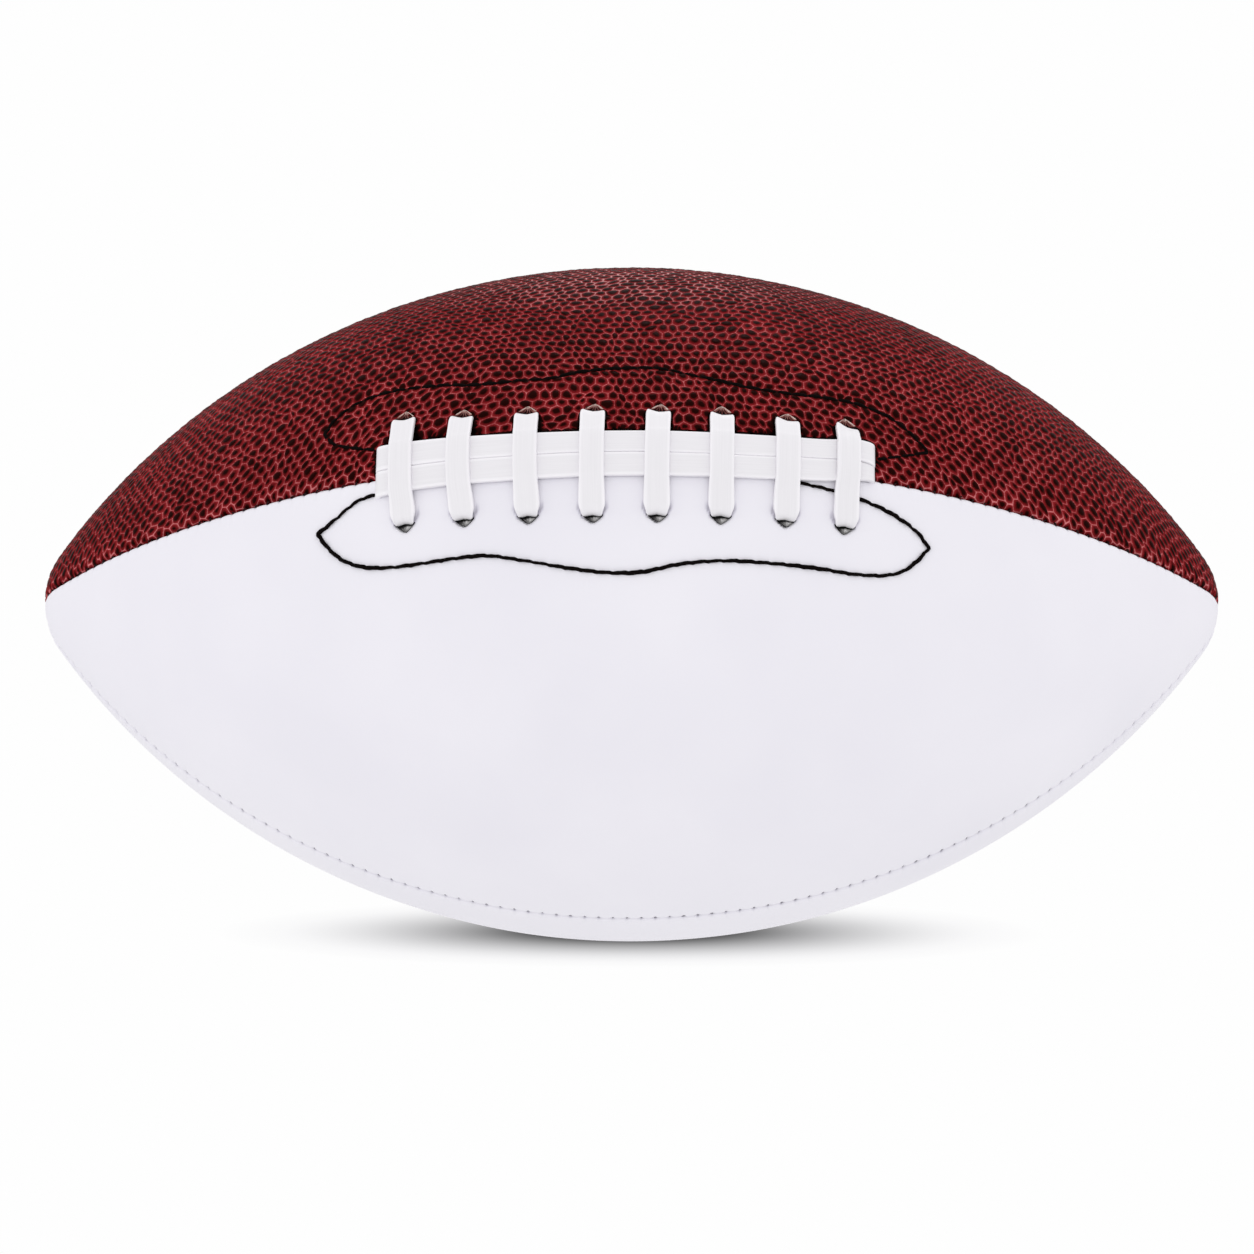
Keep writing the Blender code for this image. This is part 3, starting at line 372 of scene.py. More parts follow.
def pebbled_leather():
    """Polyurethane skin on pebbled leather: printed dark brown on top, dusty crimson in the valleys.

    The shade is the climb out of the valley plus fine grain, less the cell's own tone, and less
    again in smears where the edge rolls into a seam and the print is rubbed off. A ramp gives it
    its colour, and patches make that a little lighter or darker. Beside the lace, where the climb
    is past any pebble's, a painted shadow of the lace darkens it. A pale pink painted highlight
    lies in the valleys on the top of the ball. The film has a low gloss that shows only at a slant.
    """
    made, tree = new_material("pebbled_composite_leather")
    climb, tone, rub = (add_node(tree, "ShaderNodeAttribute", attribute_name=key).outputs["Fac"]
                        for key in ("climb", "tone", "rub"))
    place = add_node(tree, "ShaderNodeTexCoord").outputs["Object"]
    patch, fine, smear = (add_node(tree, "ShaderNodeTexNoise",
                                   {"Vector": place, "Scale": scale, "Detail": detail}).outputs["Fac"]
                          for scale, detail in ((PATCHES, 3.0), (PORES, 2.0), (SMEARS, 2.0)))
    ragged = add_node(tree, "ShaderNodeMath", {0: fine, 1: 0.44, 2: climb}, operation="MULTIPLY_ADD")
    printed = add_node(tree, "ShaderNodeMath", {0: tone, 1: -0.30, 2: ragged.outputs["Value"]},
                       operation="MULTIPLY_ADD")
    rubbed = add_node(tree, "ShaderNodeMath", {0: rub, 1: smear}, operation="MULTIPLY")
    shade = add_node(tree, "ShaderNodeMath",
                     {0: rubbed.outputs["Value"], 1: -0.55, 2: printed.outputs["Value"]},
                     operation="MULTIPLY_ADD").outputs["Value"]
    ramp = add_node(tree, "ShaderNodeValToRGB", {"Fac": shade},
                    stops=[(0.05, "D07A7C"), (1.0, "1E0402"), (0.16, "A4484A"), (0.30, "8C2428"),
                           (0.56, "76181C"), (0.78, "580F11"), (0.94, "360906")])
    broad = add_node(tree, "ShaderNodeMath", {0: patch, 1: 0.5, 2: 0.72}, operation="MULTIPLY_ADD")
    # Painted shadow beside the lace: as the climb passes 1.7 the colour falls to an eighth.
    lace_shadow = add_node(tree, "ShaderNodeMapRange", {"Value": climb, "From Min": 1.7, "From Max": 2.4,
                                                  "To Min": 1.0, "To Max": 0.12})
    both = add_node(tree, "ShaderNodeMath", {0: broad.outputs["Value"], 1: lace_shadow.outputs["Result"]},
                    operation="MULTIPLY")
    varied = add_node(tree, "ShaderNodeVectorMath",
                      {0: ramp.outputs["Color"], "Scale": both.outputs["Value"]}, operation="SCALE")
    upright = add_node(tree, "ShaderNodeSeparateXYZ", {"Vector": place})
    # Painted highlight: pale pink in the valleys on the top of the ball, standing in for glints.
    glint_height = add_node(tree, "ShaderNodeMapRange",
                       {"Value": upright.outputs["Z"], "From Min": GLINT_FROM, "From Max": GLINT_FULL})
    low = add_node(tree, "ShaderNodeMapRange", {"Value": shade, "From Min": 0.05, "From Max": 0.50,
                                                "To Min": 1.0, "To Max": 0.0})
    glint_share = add_node(tree, "ShaderNodeMath", {0: glint_height.outputs["Result"], 1: low.outputs["Result"]},
                     operation="MULTIPLY")
    painted_glint = add_node(tree, "ShaderNodeMix",
                    {"Factor": glint_share.outputs["Value"], 6: varied.outputs["Vector"], 7: linear("DCACAC")},
                    data_type="RGBA")
    rough = add_node(tree, "ShaderNodeMapRange", {"Value": climb, "To Min": 0.55, "To Max": 0.38})
    pores = add_node(tree, "ShaderNodeBump", {"Height": fine, "Distance": 0.00006, "Strength": 0.6})
    shader = add_node(tree, "ShaderNodeBsdfPrincipled",
                      {"Base Color": painted_glint.outputs[2], "Roughness": rough.outputs["Result"],
                       "Normal": pores.outputs["Normal"], "IOR": 1.40, "Specular IOR Level": 0.02})
    add_node(tree, "ShaderNodeOutputMaterial", {"Surface": shader.outputs["BSDF"]})
    return made


# The lacing, left to right, in millimetres: how far each strap reaches from the lace seam, where
# its two holes are along the ball, and the upper edge of the upper band at its stations.
STRAP_TOPS = np.array([14.3, 12.9, 12.3, 12.4, 12.3, 12.2, 12.1, 12.4]) / 1000
STRAP_BOTTOMS = np.array([12.1, 12.6, 13.1, 13.5, 13.3, 13.0, 12.7, 12.5]) / 1000
HOLE_TOP_PLACES = np.array([-50.9, -37.2, -22.2, -7.2, 7.6, 21.9, 36.8, 50.8]) / 1000
HOLE_BOTTOM_PLACES = np.array([-50.3, -36.4, -21.6, -7.1, 7.4, 21.8, 36.5, 50.4]) / 1000
BAND_STATIONS = np.array([-57, -48, -41, -36, -27, -16, 0, 12, 23, 32, 37.6, 45.4, 51.3, 54.3, 57]) / 1000
UPPER_EDGE = np.array([7.5, 7.4, 7.2, 7.0, 6.8, 6.6, 6.45, 6.5, 6.65, 7.0, 7.3, 7.6, 8.8, 8.6, 7.8]) / 1000
TOP_HOLE, BOTTOM_HOLE = (0.0027, 0.0021), (0.0026, 0.0020)
HOLE_DEPTH = 0.0012
HOLE_UNDER_STRAP = 0.0016
HOLE_WALL = 0.0006


def lace_hole(s, away, reach, places, size, shrink):
    """Depth of the eight torn holes: three-sided notches from the strap's end to a point beyond.

    away is the distance from the lace seam, size is a notch's half width and height, and shrink
    narrows it all round. The half width falls by the power 0.8 of the height that is left, and
    the depth rises over the wall's width.
    """
    depth = np.zeros_like(s)
    wide, tall = size[0] - shrink, size[1] - shrink
    for place, end in zip(places, reach):
        beyond = away - end
        half = wide * np.clip(1 - beyond / tall, 0.0, 1.0) ** 0.8
        half = np.where(beyond > -HOLE_UNDER_STRAP, half, 0.0)
        inside = np.clip((np.minimum(half, wide) - np.abs(s - place)) / HOLE_WALL, 0.0, 1.0)
        depth = np.maximum(depth, HOLE_DEPTH * inside)
    return depth


def as_arc(x):
    """Arc along the belly for a station x on it."""
    return BELLY_RADIUS * np.arcsin(np.asarray(x) / BELLY_RADIUS)


def run_through(points, step):
    """A smooth run through points, with places every step or so.

    Between two points it is the cubic that has their places and their slopes at its ends.
    """
    points = np.asarray(points, float)
    knots = np.concatenate([[0], np.cumsum(np.linalg.norm(np.diff(points, axis=0), axis=1))])
    slopes = np.gradient(points, knots, axis=0)
    at = np.linspace(0, knots[-1], int(knots[-1] / step) + 2)
    i = np.clip(np.searchsorted(knots, at, side="right") - 1, 0, len(knots) - 2)
    span = (knots[i + 1] - knots[i])[:, None]
    t = ((at - knots[i]) / (knots[i + 1] - knots[i]))[:, None]
    return (points[i] * (1 + 2 * t) * (1 - t) ** 2 + span * slopes[i] * t * (1 - t) ** 2
            + points[i + 1] * t * t * (3 - 2 * t) - span * slopes[i + 1] * t * t * (1 - t))


def leaf_outline(runs):
    """The stitched outline as arc and distance from the lace seam, sharp where two runs meet."""
    smooth_runs = [run_through(np.array(run) / 1000, 0.0006) for run in runs]
    joined = np.concatenate([smooth_runs[0]] + [run[1:] for run in smooth_runs[1:]])
    joined[:, 0] = as_arc(joined[:, 0])
    return joined


# Each run lists the station along the ball and the distance from the lace seam, in millimetres.
WHITE_LEAF = leaf_outline([
    [(-56.0, 3.9), (-59.9, 4.6), (-65.9, 8.4), (-69.7, 10.9)],
    [(-69.7, 10.9), (-66.9, 14.9), (-63.9, 17.9), (-59.9, 20.1), (-52.2, 21.6), (-47.4, 21.7),
     (-37.0, 21.4), (-31.7, 21.4), (-22.4, 23.2), (-12.1, 25.4), (-3.1, 26.6), (3.3, 26.5),
     (12.7, 24.4), (22.0, 23.2), (32.7, 22.9), (43.6, 22.9), (52.9, 23.0), (59.7, 21.9),
     (62.3, 20.8), (65.4, 18.2), (68.7, 14.1)],
    [(68.7, 14.1), (66.5, 11.4), (61.3, 8.2), (53.5, 5.6), (46.5, 4.3), (38.5, 3.4), (35.0, 3.0)]])
BROWN_LEAF = leaf_outline([
    [(-56.3, 7.4), (-60.6, 8.6), (-67.4, 12.0), (-69.0, 14.6)],
    [(-69.0, 14.6), (-67.0, 17.9), (-63.6, 21.0), (-58.9, 23.0), (-54.1, 23.8), (-47.5, 23.8),
     (-41.0, 23.3), (-35.1, 22.4), (-23.4, 22.5), (-17.0, 22.6), (-11.8, 23.9), (-0.2, 25.2),
     (8.5, 25.1), (14.6, 23.6), (20.4, 22.4), (26.7, 21.0), (33.7, 20.3), (46.5, 20.2),
     (51.1, 20.0), (55.8, 19.0), (60.5, 17.3), (64.0, 14.7), (68.9, 9.7)],
    [(68.9, 9.7), (63.8, 7.6), (56.5, 5.0)]])
LEAF_GROOVE = 0.00022
GROOVE_WIDTH = 0.0009
LEAF_REGION = (0.075, 0.032)
OUT_OF_REACH = 1.0


def leaf_groove(s, away, outline):
    """How much the lock stitch draws the leather down: a bell of the distance from its outline.

    Only points in the region of the leaf are measured, against the outline in eight parts.
    """
    nearest = np.full(s.shape, OUT_OF_REACH)
    close = (np.abs(s) < LEAF_REGION[0]) & (away < LEAF_REGION[1])
    some = np.stack([s[close], away[close]], axis=-1)
    best = np.full(len(some), OUT_OF_REACH)
    for part in np.array_split(outline[::2], 8):
        gap = some[:, None, :] - part[None, :, :]
        best = np.minimum(best, np.sqrt((gap ** 2).sum(axis=-1)).min(axis=1))
    nearest[close] = best
    return np.exp(-(nearest / GROOVE_WIDTH) ** 2)


# Reach of the painted shadow of the lace beside the bands and beside the straps.
SHADOW_BY_BAND, SHADOW_END = 0.0009, 0.0576
SHADOW_BY_STRAP, SHADOW_TOP = 0.0032, 0.0122


def lace_shadow_mask(s, away):
    """One where the lace lies on the brown leather and beside it, where a painted shadow of the lace
    darkens it, and nought elsewhere.
    """
    band = away < np.interp(s, as_arc(BAND_STATIONS), UPPER_EDGE) + SHADOW_BY_BAND
    strap = (np.abs(s[:, None] - HOLE_TOP_PLACES) < SHADOW_BY_STRAP).any(axis=1)
    return (band & (np.abs(s) < SHADOW_END) | strap & (away < SHADOW_TOP)).astype(float)


VALVE_ANGLE = SEAM_ANGLES[BOTTOM_SEAM] - 0.026 / BALL_RADIUS
VALVE_HEAD = 0.0045
VALVE_RECESS = 0.0025
BACK_MIDDLE = (SEAM_ANGLES[BACK_SEAM] + SEAM_ANGLES[BOTTOM_SEAM]) / 2
LATTICE_HALF_WIDTH = 0.067
RUB_WIDTH = 0.0034
RUB_FLATTENS = 0.45
GROOVE_FLATTENS = 0.75
END_WEAR = 0.07
BROWN_PULL = 0.0005

brown_skin = pebbled_leather()
for name, node, gore, seed in (("brown_lace_leather", "brown_lace_panel", BROWN_LACE, 11),
                               ("brown_back_leather", "brown_back_panel", BROWN_BACK, 23)):
    flat_points, flat_values, cells = pebble_lattice(PEBBLE_PITCH, POLE_ARC, LATTICE_HALF_WIDTH, seed)
    table = np.concatenate([flat_points, flat_values], axis=1)
    _, _, flat_half = gore_size(gore, flat_points[:, 0], BROWN_ROLL)
    table, cells, border = clip(table, cells, flat_half - np.abs(flat_points[:, 1]))
    s, w, climb, height, tone = table.T
    half, _, flat = gore_size(gore, s, BROWN_ROLL)
    w[border] = np.sign(w[border]) * flat[border]
    rub = np.exp(-((flat - np.abs(w)) / RUB_WIDTH) ** 2)
    lift = PEBBLE_RELIEF * height * (1 - RUB_FLATTENS * rub)
    climb = climb * (1 - END_WEAR * smooth(np.abs(s), 0.045, 0.10))
    if gore == BROWN_LACE:
        _, across = leather(gore, s, w, lift, BROWN_ROLL, 0.0)
        from_lace = half - across + OUT_OF_REACH * (w > 0)
        drawn = leaf_groove(s, from_lace, BROWN_LEAF)
        lift = lift * (1 - GROOVE_FLATTENS * drawn) - LEAF_GROOVE * drawn
        lift = lift - lace_hole(s, from_lace, STRAP_TOPS, HOLE_TOP_PLACES, TOP_HOLE, 0.0003)
        # The painted shadow of the lace rides in the climb attribute.
        climb = np.maximum(climb, LACE_SHADOW_CLIMB * lace_shadow_mask(s, from_lace))
    else:
        from_valve = np.hypot(s, w - BALL_RADIUS * (VALVE_ANGLE - BACK_MIDDLE))
        lift = lift - VALVE_RECESS * (1 - smooth(from_valve, VALVE_HEAD - 0.0002, VALVE_HEAD + 0.0009))
    outer, _ = leather(gore, s, w, lift, BROWN_ROLL, BROWN_PULL)
    sides = border_rows(cells, s)
    points, faces = backed(gore, outer, cells, sides, [np.maximum.accumulate(s[row]) for row in sides])
    piece = make_mesh(name, points, [faces], {"climb": climb, "tone": tone, "rub": rub})
    piece.data.materials.append(brown_skin)
    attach(piece, "root")
    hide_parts(node)

# White leather panels
# The other two gores are the same sheet pressed against a plain plate, so they are smooth, with
# only a faint grain. Every stitch of the seams pulls a small dimple into the rolled edge.

WHITE_ROLL = 0.0011
STITCH_COLUMNS = 7
# Cells in a metre: a grain of 0.5 mm, and soft patches of 42 mm.
GRAIN, SOFT_PATCHES = 1900.0, 24.0


def white_leather():
    """Smooth white polyurethane skin: satin, a little cool, with a shallow leather grain.

    Soft patches shift its tint by a hair. The dark attribute darkens it with painted shade in
    the needle holes and a painted shadow beside the straps.
    """
    made, tree = new_material("smooth_white_composite_leather")
    dark = add_node(tree, "ShaderNodeAttribute", attribute_name="dark")
    place = add_node(tree, "ShaderNodeTexCoord").outputs["Object"]
    grain = add_node(tree, "ShaderNodeTexNoise", {"Vector": place, "Scale": GRAIN, "Detail": 4.0,
                                                  "Roughness": 0.6})
    patch = add_node(tree, "ShaderNodeTexNoise", {"Vector": place, "Scale": SOFT_PATCHES, "Detail": 3.0})
    tint = add_node(tree, "ShaderNodeValToRGB", {"Fac": patch.outputs["Fac"]},
                    stops=[(0.3, "EAE8F0"), (0.75, "EFEDF4")])
    painted_shade = add_node(tree, "ShaderNodeValToRGB", {"Fac": dark.outputs["Fac"]},
                    stops=[(0.0, "FFFFFF"), (1.0, "131212"), (0.12, "E4E3E8"), (0.45, "8E8D90"),
                           (0.7, "3A3838")])
    colour = add_node(tree, "ShaderNodeVectorMath", {0: tint.outputs["Color"], 1: painted_shade.outputs["Color"]},
                      operation="MULTIPLY")
    bump = add_node(tree, "ShaderNodeBump",
                    {"Height": grain.outputs["Fac"], "Distance": 0.00005, "Strength": 0.35})
    shader = add_node(tree, "ShaderNodeBsdfPrincipled",
                      {"Base Color": colour.outputs["Vector"], "Roughness": 0.48, "IOR": 1.46,
                       "Specular IOR Level": 0.35, "Normal": bump.outputs["Normal"]})
    add_node(tree, "ShaderNodeOutputMaterial", {"Surface": shader.outputs["BSDF"]})
    return made


def rows_across(flat, low, high, crown):
    """Flat places across a gore: close rows at both edges, even rows over the crown.

    The edges' rows are at true distances, and shrink together where the gore gets narrow.
    """
    scale = np.minimum(1.0, 2 * flat / (low[-1] + high[-1] + 0.012))[:, None]
    near = -flat[:, None] + scale * low
    far = flat[:, None] - scale * high[::-1]
    share = np.linspace(0.0, 1.0, crown + 2)[1:-1]
    between = near[:, -1:] + (far[:, :1] - near[:, -1:]) * share
    return np.concatenate([near, between, far], axis=1)


def tube_faces(rings, sides):
    """Quads of a tube whose rings of points follow each other, and the two fans that close it."""
    number = np.arange(rings * sides).reshape(rings, sides)
    beside = np.roll(number, -1, axis=1)
    quads = np.stack([number[:-1], number[1:], beside[1:], beside[:-1]], axis=-1).reshape(-1, 4)
    fans = [np.stack([0 * row[1:-1] + row[0], row[1:-1], row[2:]], axis=-1)
            for row in (number[0], number[-1][::-1])]
    return [quads, np.concatenate(fans)]


BACK_SHARES = np.linspace(0.985, 0.015, 11)


def closed_gore(gore, front, s):
    """Rings of a gore as a flattened tube: each is a row of its face, and then, the other way, one
    of its back at the leather's thickness, at shares of the way across."""
    start, width = seam_at(gore, s)[:, None], (seam_at(gore + 1, s) - seam_at(gore, s))[:, None]
    back = skin(s[:, None] + 0 * BACK_SHARES, start + width * BACK_SHARES, LEATHER_THICKNESS)
    return np.concatenate([front, back], axis=1)


def strap_pucker(s, away, reach, places):
    """Shallow dish round each lace hole, where the lace hauls the leather in, with faint creases.

    A bell 0.4 mm deep and 4.5 mm wide about a point 1 mm inside the strap's end. Seven creases
    run out from that point and are a quarter of the depth, strongest 5 mm away.
    """
    dish = np.zeros_like(s)
    for place, end in zip(places, reach):
        along, beyond = s - place, away - end
        far = np.sqrt(along ** 2 + (beyond + 0.001) ** 2)
        heading = np.arctan2(along, beyond + 0.001)
        crease = 0.25 * np.cos(7 * heading + 900 * place) * np.exp(-((far - 0.005) / 0.002) ** 2)
        dish += 0.0004 * np.exp(-(far / 0.0045) ** 2) * (1 + crease)
    return dish


def strap_lips(s, away, reach, places):
    """Shadow in the gap where the leather closes round the end of each strap, by both its edges.

    A narrow bell across the gap, from 4 mm before the strap's end to the end itself, where the
    two edges draw together.
    """
    shade = np.zeros_like(s)
    for place, end in zip(places, reach):
        beyond = away - end
        edge = 0.00305 - 0.0009 * smooth(beyond, -0.0022, 0.0002)
        along = smooth(beyond, -0.0042, -0.0016) * (1 - smooth(beyond, -0.0002, 0.0005))
        shade += 0.30 * along * np.exp(-((np.abs(s - place) - edge) / 0.00034) ** 2)
    return shade


# Rows across a gore, in millimetres from its edge: close over the roll, and close again past the
# lacing, where holes and puckers need them.
edge_rows = np.array([0.0, 0.5, 1.0, 1.35, 1.7, 2.05, 2.4, 2.8, 3.3, 4.0, 5.0, 6.4]) / 1000
lace_rows = np.concatenate([edge_rows[:-1]] + [np.arange(*part) / 1000 for part in (
    (6.0, 10.6, 0.9), (10.9, 18.6, 0.5), (19.2, 28.5, 0.9))])
BULGE_LINE, BULGE_WIDTH = 0.0032, 0.0011
BULGE, DIMPLE, WAVES = 0.00010, 0.00012, 0.00006
PINHOLE_LINE, PINHOLE_RADIUS = 0.0020, 0.00036
MOST_STITCHES, MIDDLE_STITCH = 130, 60

white_skin = white_leather()
step = SEAM_STITCH / STITCH_COLUMNS
s_row = step * np.arange(-int(POLE_ARC / step), int(POLE_ARC / step) + 1)
for name, node, gore, high, crown, pulls in (
        ("white_lace_leather", "white_lace_panel", WHITE_LACE, lace_rows, 22, (0.0005, 0.0003)),
        ("white_bottom_leather", "white_bottom_panel", WHITE_BOTTOM, edge_rows, 30, (0.0003, 0.0007))):
    half, _, flat = gore_size(gore, s_row, WHITE_ROLL)
    w = rows_across(flat, edge_rows, high, crown)
    s = s_row[:, None] + 0 * w
    to_edge = flat[:, None] - np.abs(w)
    # The filled cloth bulges between stitches and dips at them, and lies in slow waves elsewhere.
    band = np.exp(-((to_edge - BULGE_LINE) / BULGE_WIDTH) ** 2)
    lift = BULGE * band * (1 - stitch_pull(s)) - DIMPLE * band * stitch_pull(s)
    lift += WAVES * np.sin(s / 0.019 + 3 * np.sin(w / 0.03)) * np.sin(w / 0.013 + 2 * np.sin(s / 0.05))
    # Each stitch pulls its needle hole open by its own strength, more at the gore's first seam.
    stitch = np.rint(s_row / SEAM_STITCH).astype(int) + MIDDLE_STITCH
    strength = np.random.default_rng(gore).uniform(0.25, 1.0, MOST_STITCHES)[stitch][:, None]
    # Painted shade in each needle hole: the dark attribute darkens the colour there.
    pinhole = strength * stitch_pull(s) ** 4 * np.exp(-((to_edge - PINHOLE_LINE) / PINHOLE_RADIUS) ** 2)
    dark = np.where(w < 0, 0.60, 0.30) * pinhole * smooth(half, 0.001, 0.006)[:, None]
    if gore == WHITE_LACE:
        _, across = leather(gore, s, w, 0.0, WHITE_ROLL, 0.0)
        from_lace = half[:, None] - across + OUT_OF_REACH * (w < 0)
        clear_of_lacing = 1 - (1 - smooth(np.abs(s), 0.055, 0.060)) * (w > 0)
        lift = lift * clear_of_lacing - LEAF_GROOVE * leaf_groove(s, from_lace, WHITE_LEAF)
        lift -= lace_hole(s, from_lace, STRAP_BOTTOMS, HOLE_BOTTOM_PLACES, BOTTOM_HOLE, 0.0004)
        lift -= strap_pucker(s, from_lace, STRAP_BOTTOMS, HOLE_BOTTOM_PLACES)
        # The strap lips add a painted shadow beside each strap's end to the dark attribute.
        dark = dark * clear_of_lacing + strap_lips(s, from_lace, STRAP_BOTTOMS, HOLE_BOTTOM_PLACES)
    front, _ = leather(gore, s, w, lift, WHITE_ROLL, np.where(w < 0, *pulls))
    rings = closed_gore(gore, front, s_row)
    shown = np.zeros(rings.shape[:2])
    shown[:, :front.shape[1]] = dark
    piece = make_mesh(name, rings.reshape(-1, 3), tube_faces(*shown.shape), {"dark": shown.ravel()})
    piece.data.materials.append(white_skin)
    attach(piece, "root")
    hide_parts(node)

# The lace
# One flat strip of white vinyl, extruded over a cord core with a faint lengthwise grain. It runs
# as two bands along the slit, turns back inside, and crosses the bands eight times from hole to
# hole. It is pulled tight by hand, so no two straps lie quite alike.

LACE_THICKNESS = 0.0012
LACE_WIDTH = 0.0058
BAND_END = 0.0569
LACE_INSIDE = -0.0051
# In millimetres: where the two bands meet and the lower one ends, at the stations of the upper
# edge, and then how far each strap bows and how wide it is. Its slant is in radians.
BAND_MEETING = np.array([1.15, 1.15, 1.2, 1.1, 1.05, 1.2, 1.2, 1.1, 1.3, 1.65, 2.3, 2.7, 3.5, 3.1,
                         2.3]) / 1000
LOWER_EDGE = np.array([-5.2, -4.7, -4.65, -4.7, -4.75, -4.6, -4.5, -4.5, -4.1, -3.7, -3.2, -2.7, -1.4,
                       -1.2, -1.1]) / 1000
STRAP_BOWS = np.array([-0.40, -0.65, -0.25, -0.10, -0.20, -0.10, 0.05, 0.0]) / 1000
STRAP_WIDTHS = np.array([5.5, 5.5, 5.5, 5.6, 5.6, 5.5, 5.6, 5.5]) / 1000
STRAP_SLANTS = np.array([0.0, 0.13, 0.03, 0.10, 0.10, 0.10, 0.14, 0.30])


def on_ball(s, across, lift):
    """Point by the lacing: across is the distance from its seam, positive on the brown side."""
    _, r, _ = meridian(s)
    angle = seam_at(LACE_SEAM, s) + across / r
    return skin(s, angle) + outward(s, angle) * np.asarray(lift)[..., None]


def band_route(low_edge, high_edge, heading, droop):
    """One band: up out of its slit, along the ball between its edges, and down again.

    The edges are tables along the band. Its middle line wanders by a tenth of a millimetre, and
    droop lifts its right end over the other band.
    """
    places = np.linspace(-BAND_END, BAND_END, 27)
    low, high = (np.interp(places, as_arc(BAND_STATIONS), edge) for edge in (low_edge, high_edge))
    across, width = (low + high) / 2, high - low
    top = LACE_THICKNESS / 2 + 0.0003 + droop * smooth(places, 0.050, 0.055)
    across = across + 0.0001 * np.sin(places / 0.009 + 60 * high)
    rows = [(places[0], across[0], -0.0012, width[0])]
    rows += list(zip(places, across, top, width))
    rows += [(places[-1], across[-1], -0.0012, width[-1])]
    return [(*row, heading, 0.0) for row in rows][::1 if heading > 0 else -1]


def strap_route(k):
    """One cross strap: out of its upper hole, over both bands, and into its lower hole.

    The holes haul the strap's edges on, which hollows its ends, and the lower one gathers it.
    Each row gives the distance from the seam, the lift, the share of the width, how far the
    edges run ahead of the middle, and the share of the strap's slant.
    """
    top, bottom, slant = STRAP_TOPS[k], STRAP_BOTTOMS[k], STRAP_SLANTS[k]
    half, skin_lift, band_lift = LACE_THICKNESS / 2, 0.00072, 0.00205
    middle = (HOLE_TOP_PLACES[k] + HOLE_BOTTOM_PLACES[k]) / 2
    high, low = (np.interp(middle, as_arc(BAND_STATIONS), edge) for edge in (UPPER_EDGE, LOWER_EDGE))
    band_lift += 0.0003 * smooth(middle, 0.045, 0.050)
    start, end = top - half, -bottom + half
    rows = [(start, LACE_INSIDE, 0.85, 0.0, 1), (start, -0.0024, 0.88, 0.0003, 1),
            (start, -0.0004, 0.93, 0.0006, 1), (start - 0.0002, 0.0004, 0.98, 0.0007, 1),
            (start - 0.0010, 0.0009, 1.02, 0.0002, 0.8),
            ((top + high) / 2, 0.0012, 1.0, 0.0, 0.4), (high + 0.0004, 0.0017, 1.0, 0.0, 0.1),
            (high - 0.0006, band_lift, 1.0, 0.0, 0), (high - 0.0036, band_lift, 1.0, 0.0, 0),
            ((high + low) / 2, band_lift, 1.0, 0.0, 0), (low + 0.0030, band_lift, 1.0, 0.0, 0),
            (low + 0.0008, band_lift - 0.0001, 1.0, 0.0, 0), (low - 0.0006, 0.0016, 1.01, 0.0, 0),
            (low - 0.0022, 0.0010, 1.04, 0.0, 0), (end + 0.0034, skin_lift, 1.07, 0.0, 0),
            (end + 0.0020, skin_lift, 1.08, 0.0, 0), (end + 0.0012, 0.0006, 1.02, 0.0002, 0),
            (end + 0.0005, 0.0002, 0.88, 0.0006, 0), (end + 0.0002, -0.0006, 0.78, 0.0008, 0),
            (end + 0.0002, -0.0024, 0.70, 0.0003, 0), (end, LACE_INSIDE, 0.74, 0.0, 0)]
    route = []
    for across, lift, share, ahead, turned in rows:
        down = min(max((top - across) / (top + bottom), 0), 1)
        place = HOLE_TOP_PLACES[k] + (HOLE_BOTTOM_PLACES[k] - HOLE_TOP_PLACES[k]) * down
        place += STRAP_BOWS[k] * math.sin(math.pi * down)
        route.append((place, across, lift, STRAP_WIDTHS[k] * share, -slant * turned, ahead))
    return route


def lace_route():
    """The whole way of the lace from its hidden start: the upper band, a fold inside at the right,
    the lower band, home inside to the left, and the eight straps with a hidden step between two.

    Each row gives the place along the ball, the distance from the seam, the lift, the width, the
    heading of its width, and how far the edges run ahead.
    """
    inside, right, width = LACE_INSIDE, math.pi / 2, LACE_WIDTH
    start = [(-0.067, 0.0049, right), (-BAND_END, 0.0049, right)]
    turn = [(BAND_END, 0.0056, right), (0.0605, 0.0058, right), (0.0634, 0.0040, right / 2),
            (0.0643, 0.0016, 0.0), (0.0634, -0.0004, -right / 2), (0.0605, -0.0017, -right),
            (BAND_END, -0.0012, -right)]
    home = [(-BAND_END, -0.0026, -right), (-0.0545, -0.0021, -right), (-0.0520, 0.0005, -right / 2),
            (HOLE_TOP_PLACES[0], 0.0050, -0.05)]
    hidden = [[(s, across, inside, width, heading, 0.0) for s, across, heading in part]
              for part in (start, turn, home)]
    route = (hidden[0] + band_route(BAND_MEETING, UPPER_EDGE, right, 0.0005) + hidden[1]
             + band_route(LOWER_EDGE, BAND_MEETING, -right, 0.0) + hidden[2])
    for k in range(8):
        route += strap_route(k)
        if k < 7:
            this, after = HOLE_BOTTOM_PLACES[k], HOLE_TOP_PLACES[k + 1]
            route += [(this + 0.003, -0.0080, inside, width, -0.5, 0.0),
                      (after - 0.003, 0.0080, inside, width, -0.5, 0.0)]
    route.append((HOLE_BOTTOM_PLACES[7], -0.004, inside, width, 0.0, 0.0))
    return np.array(route)


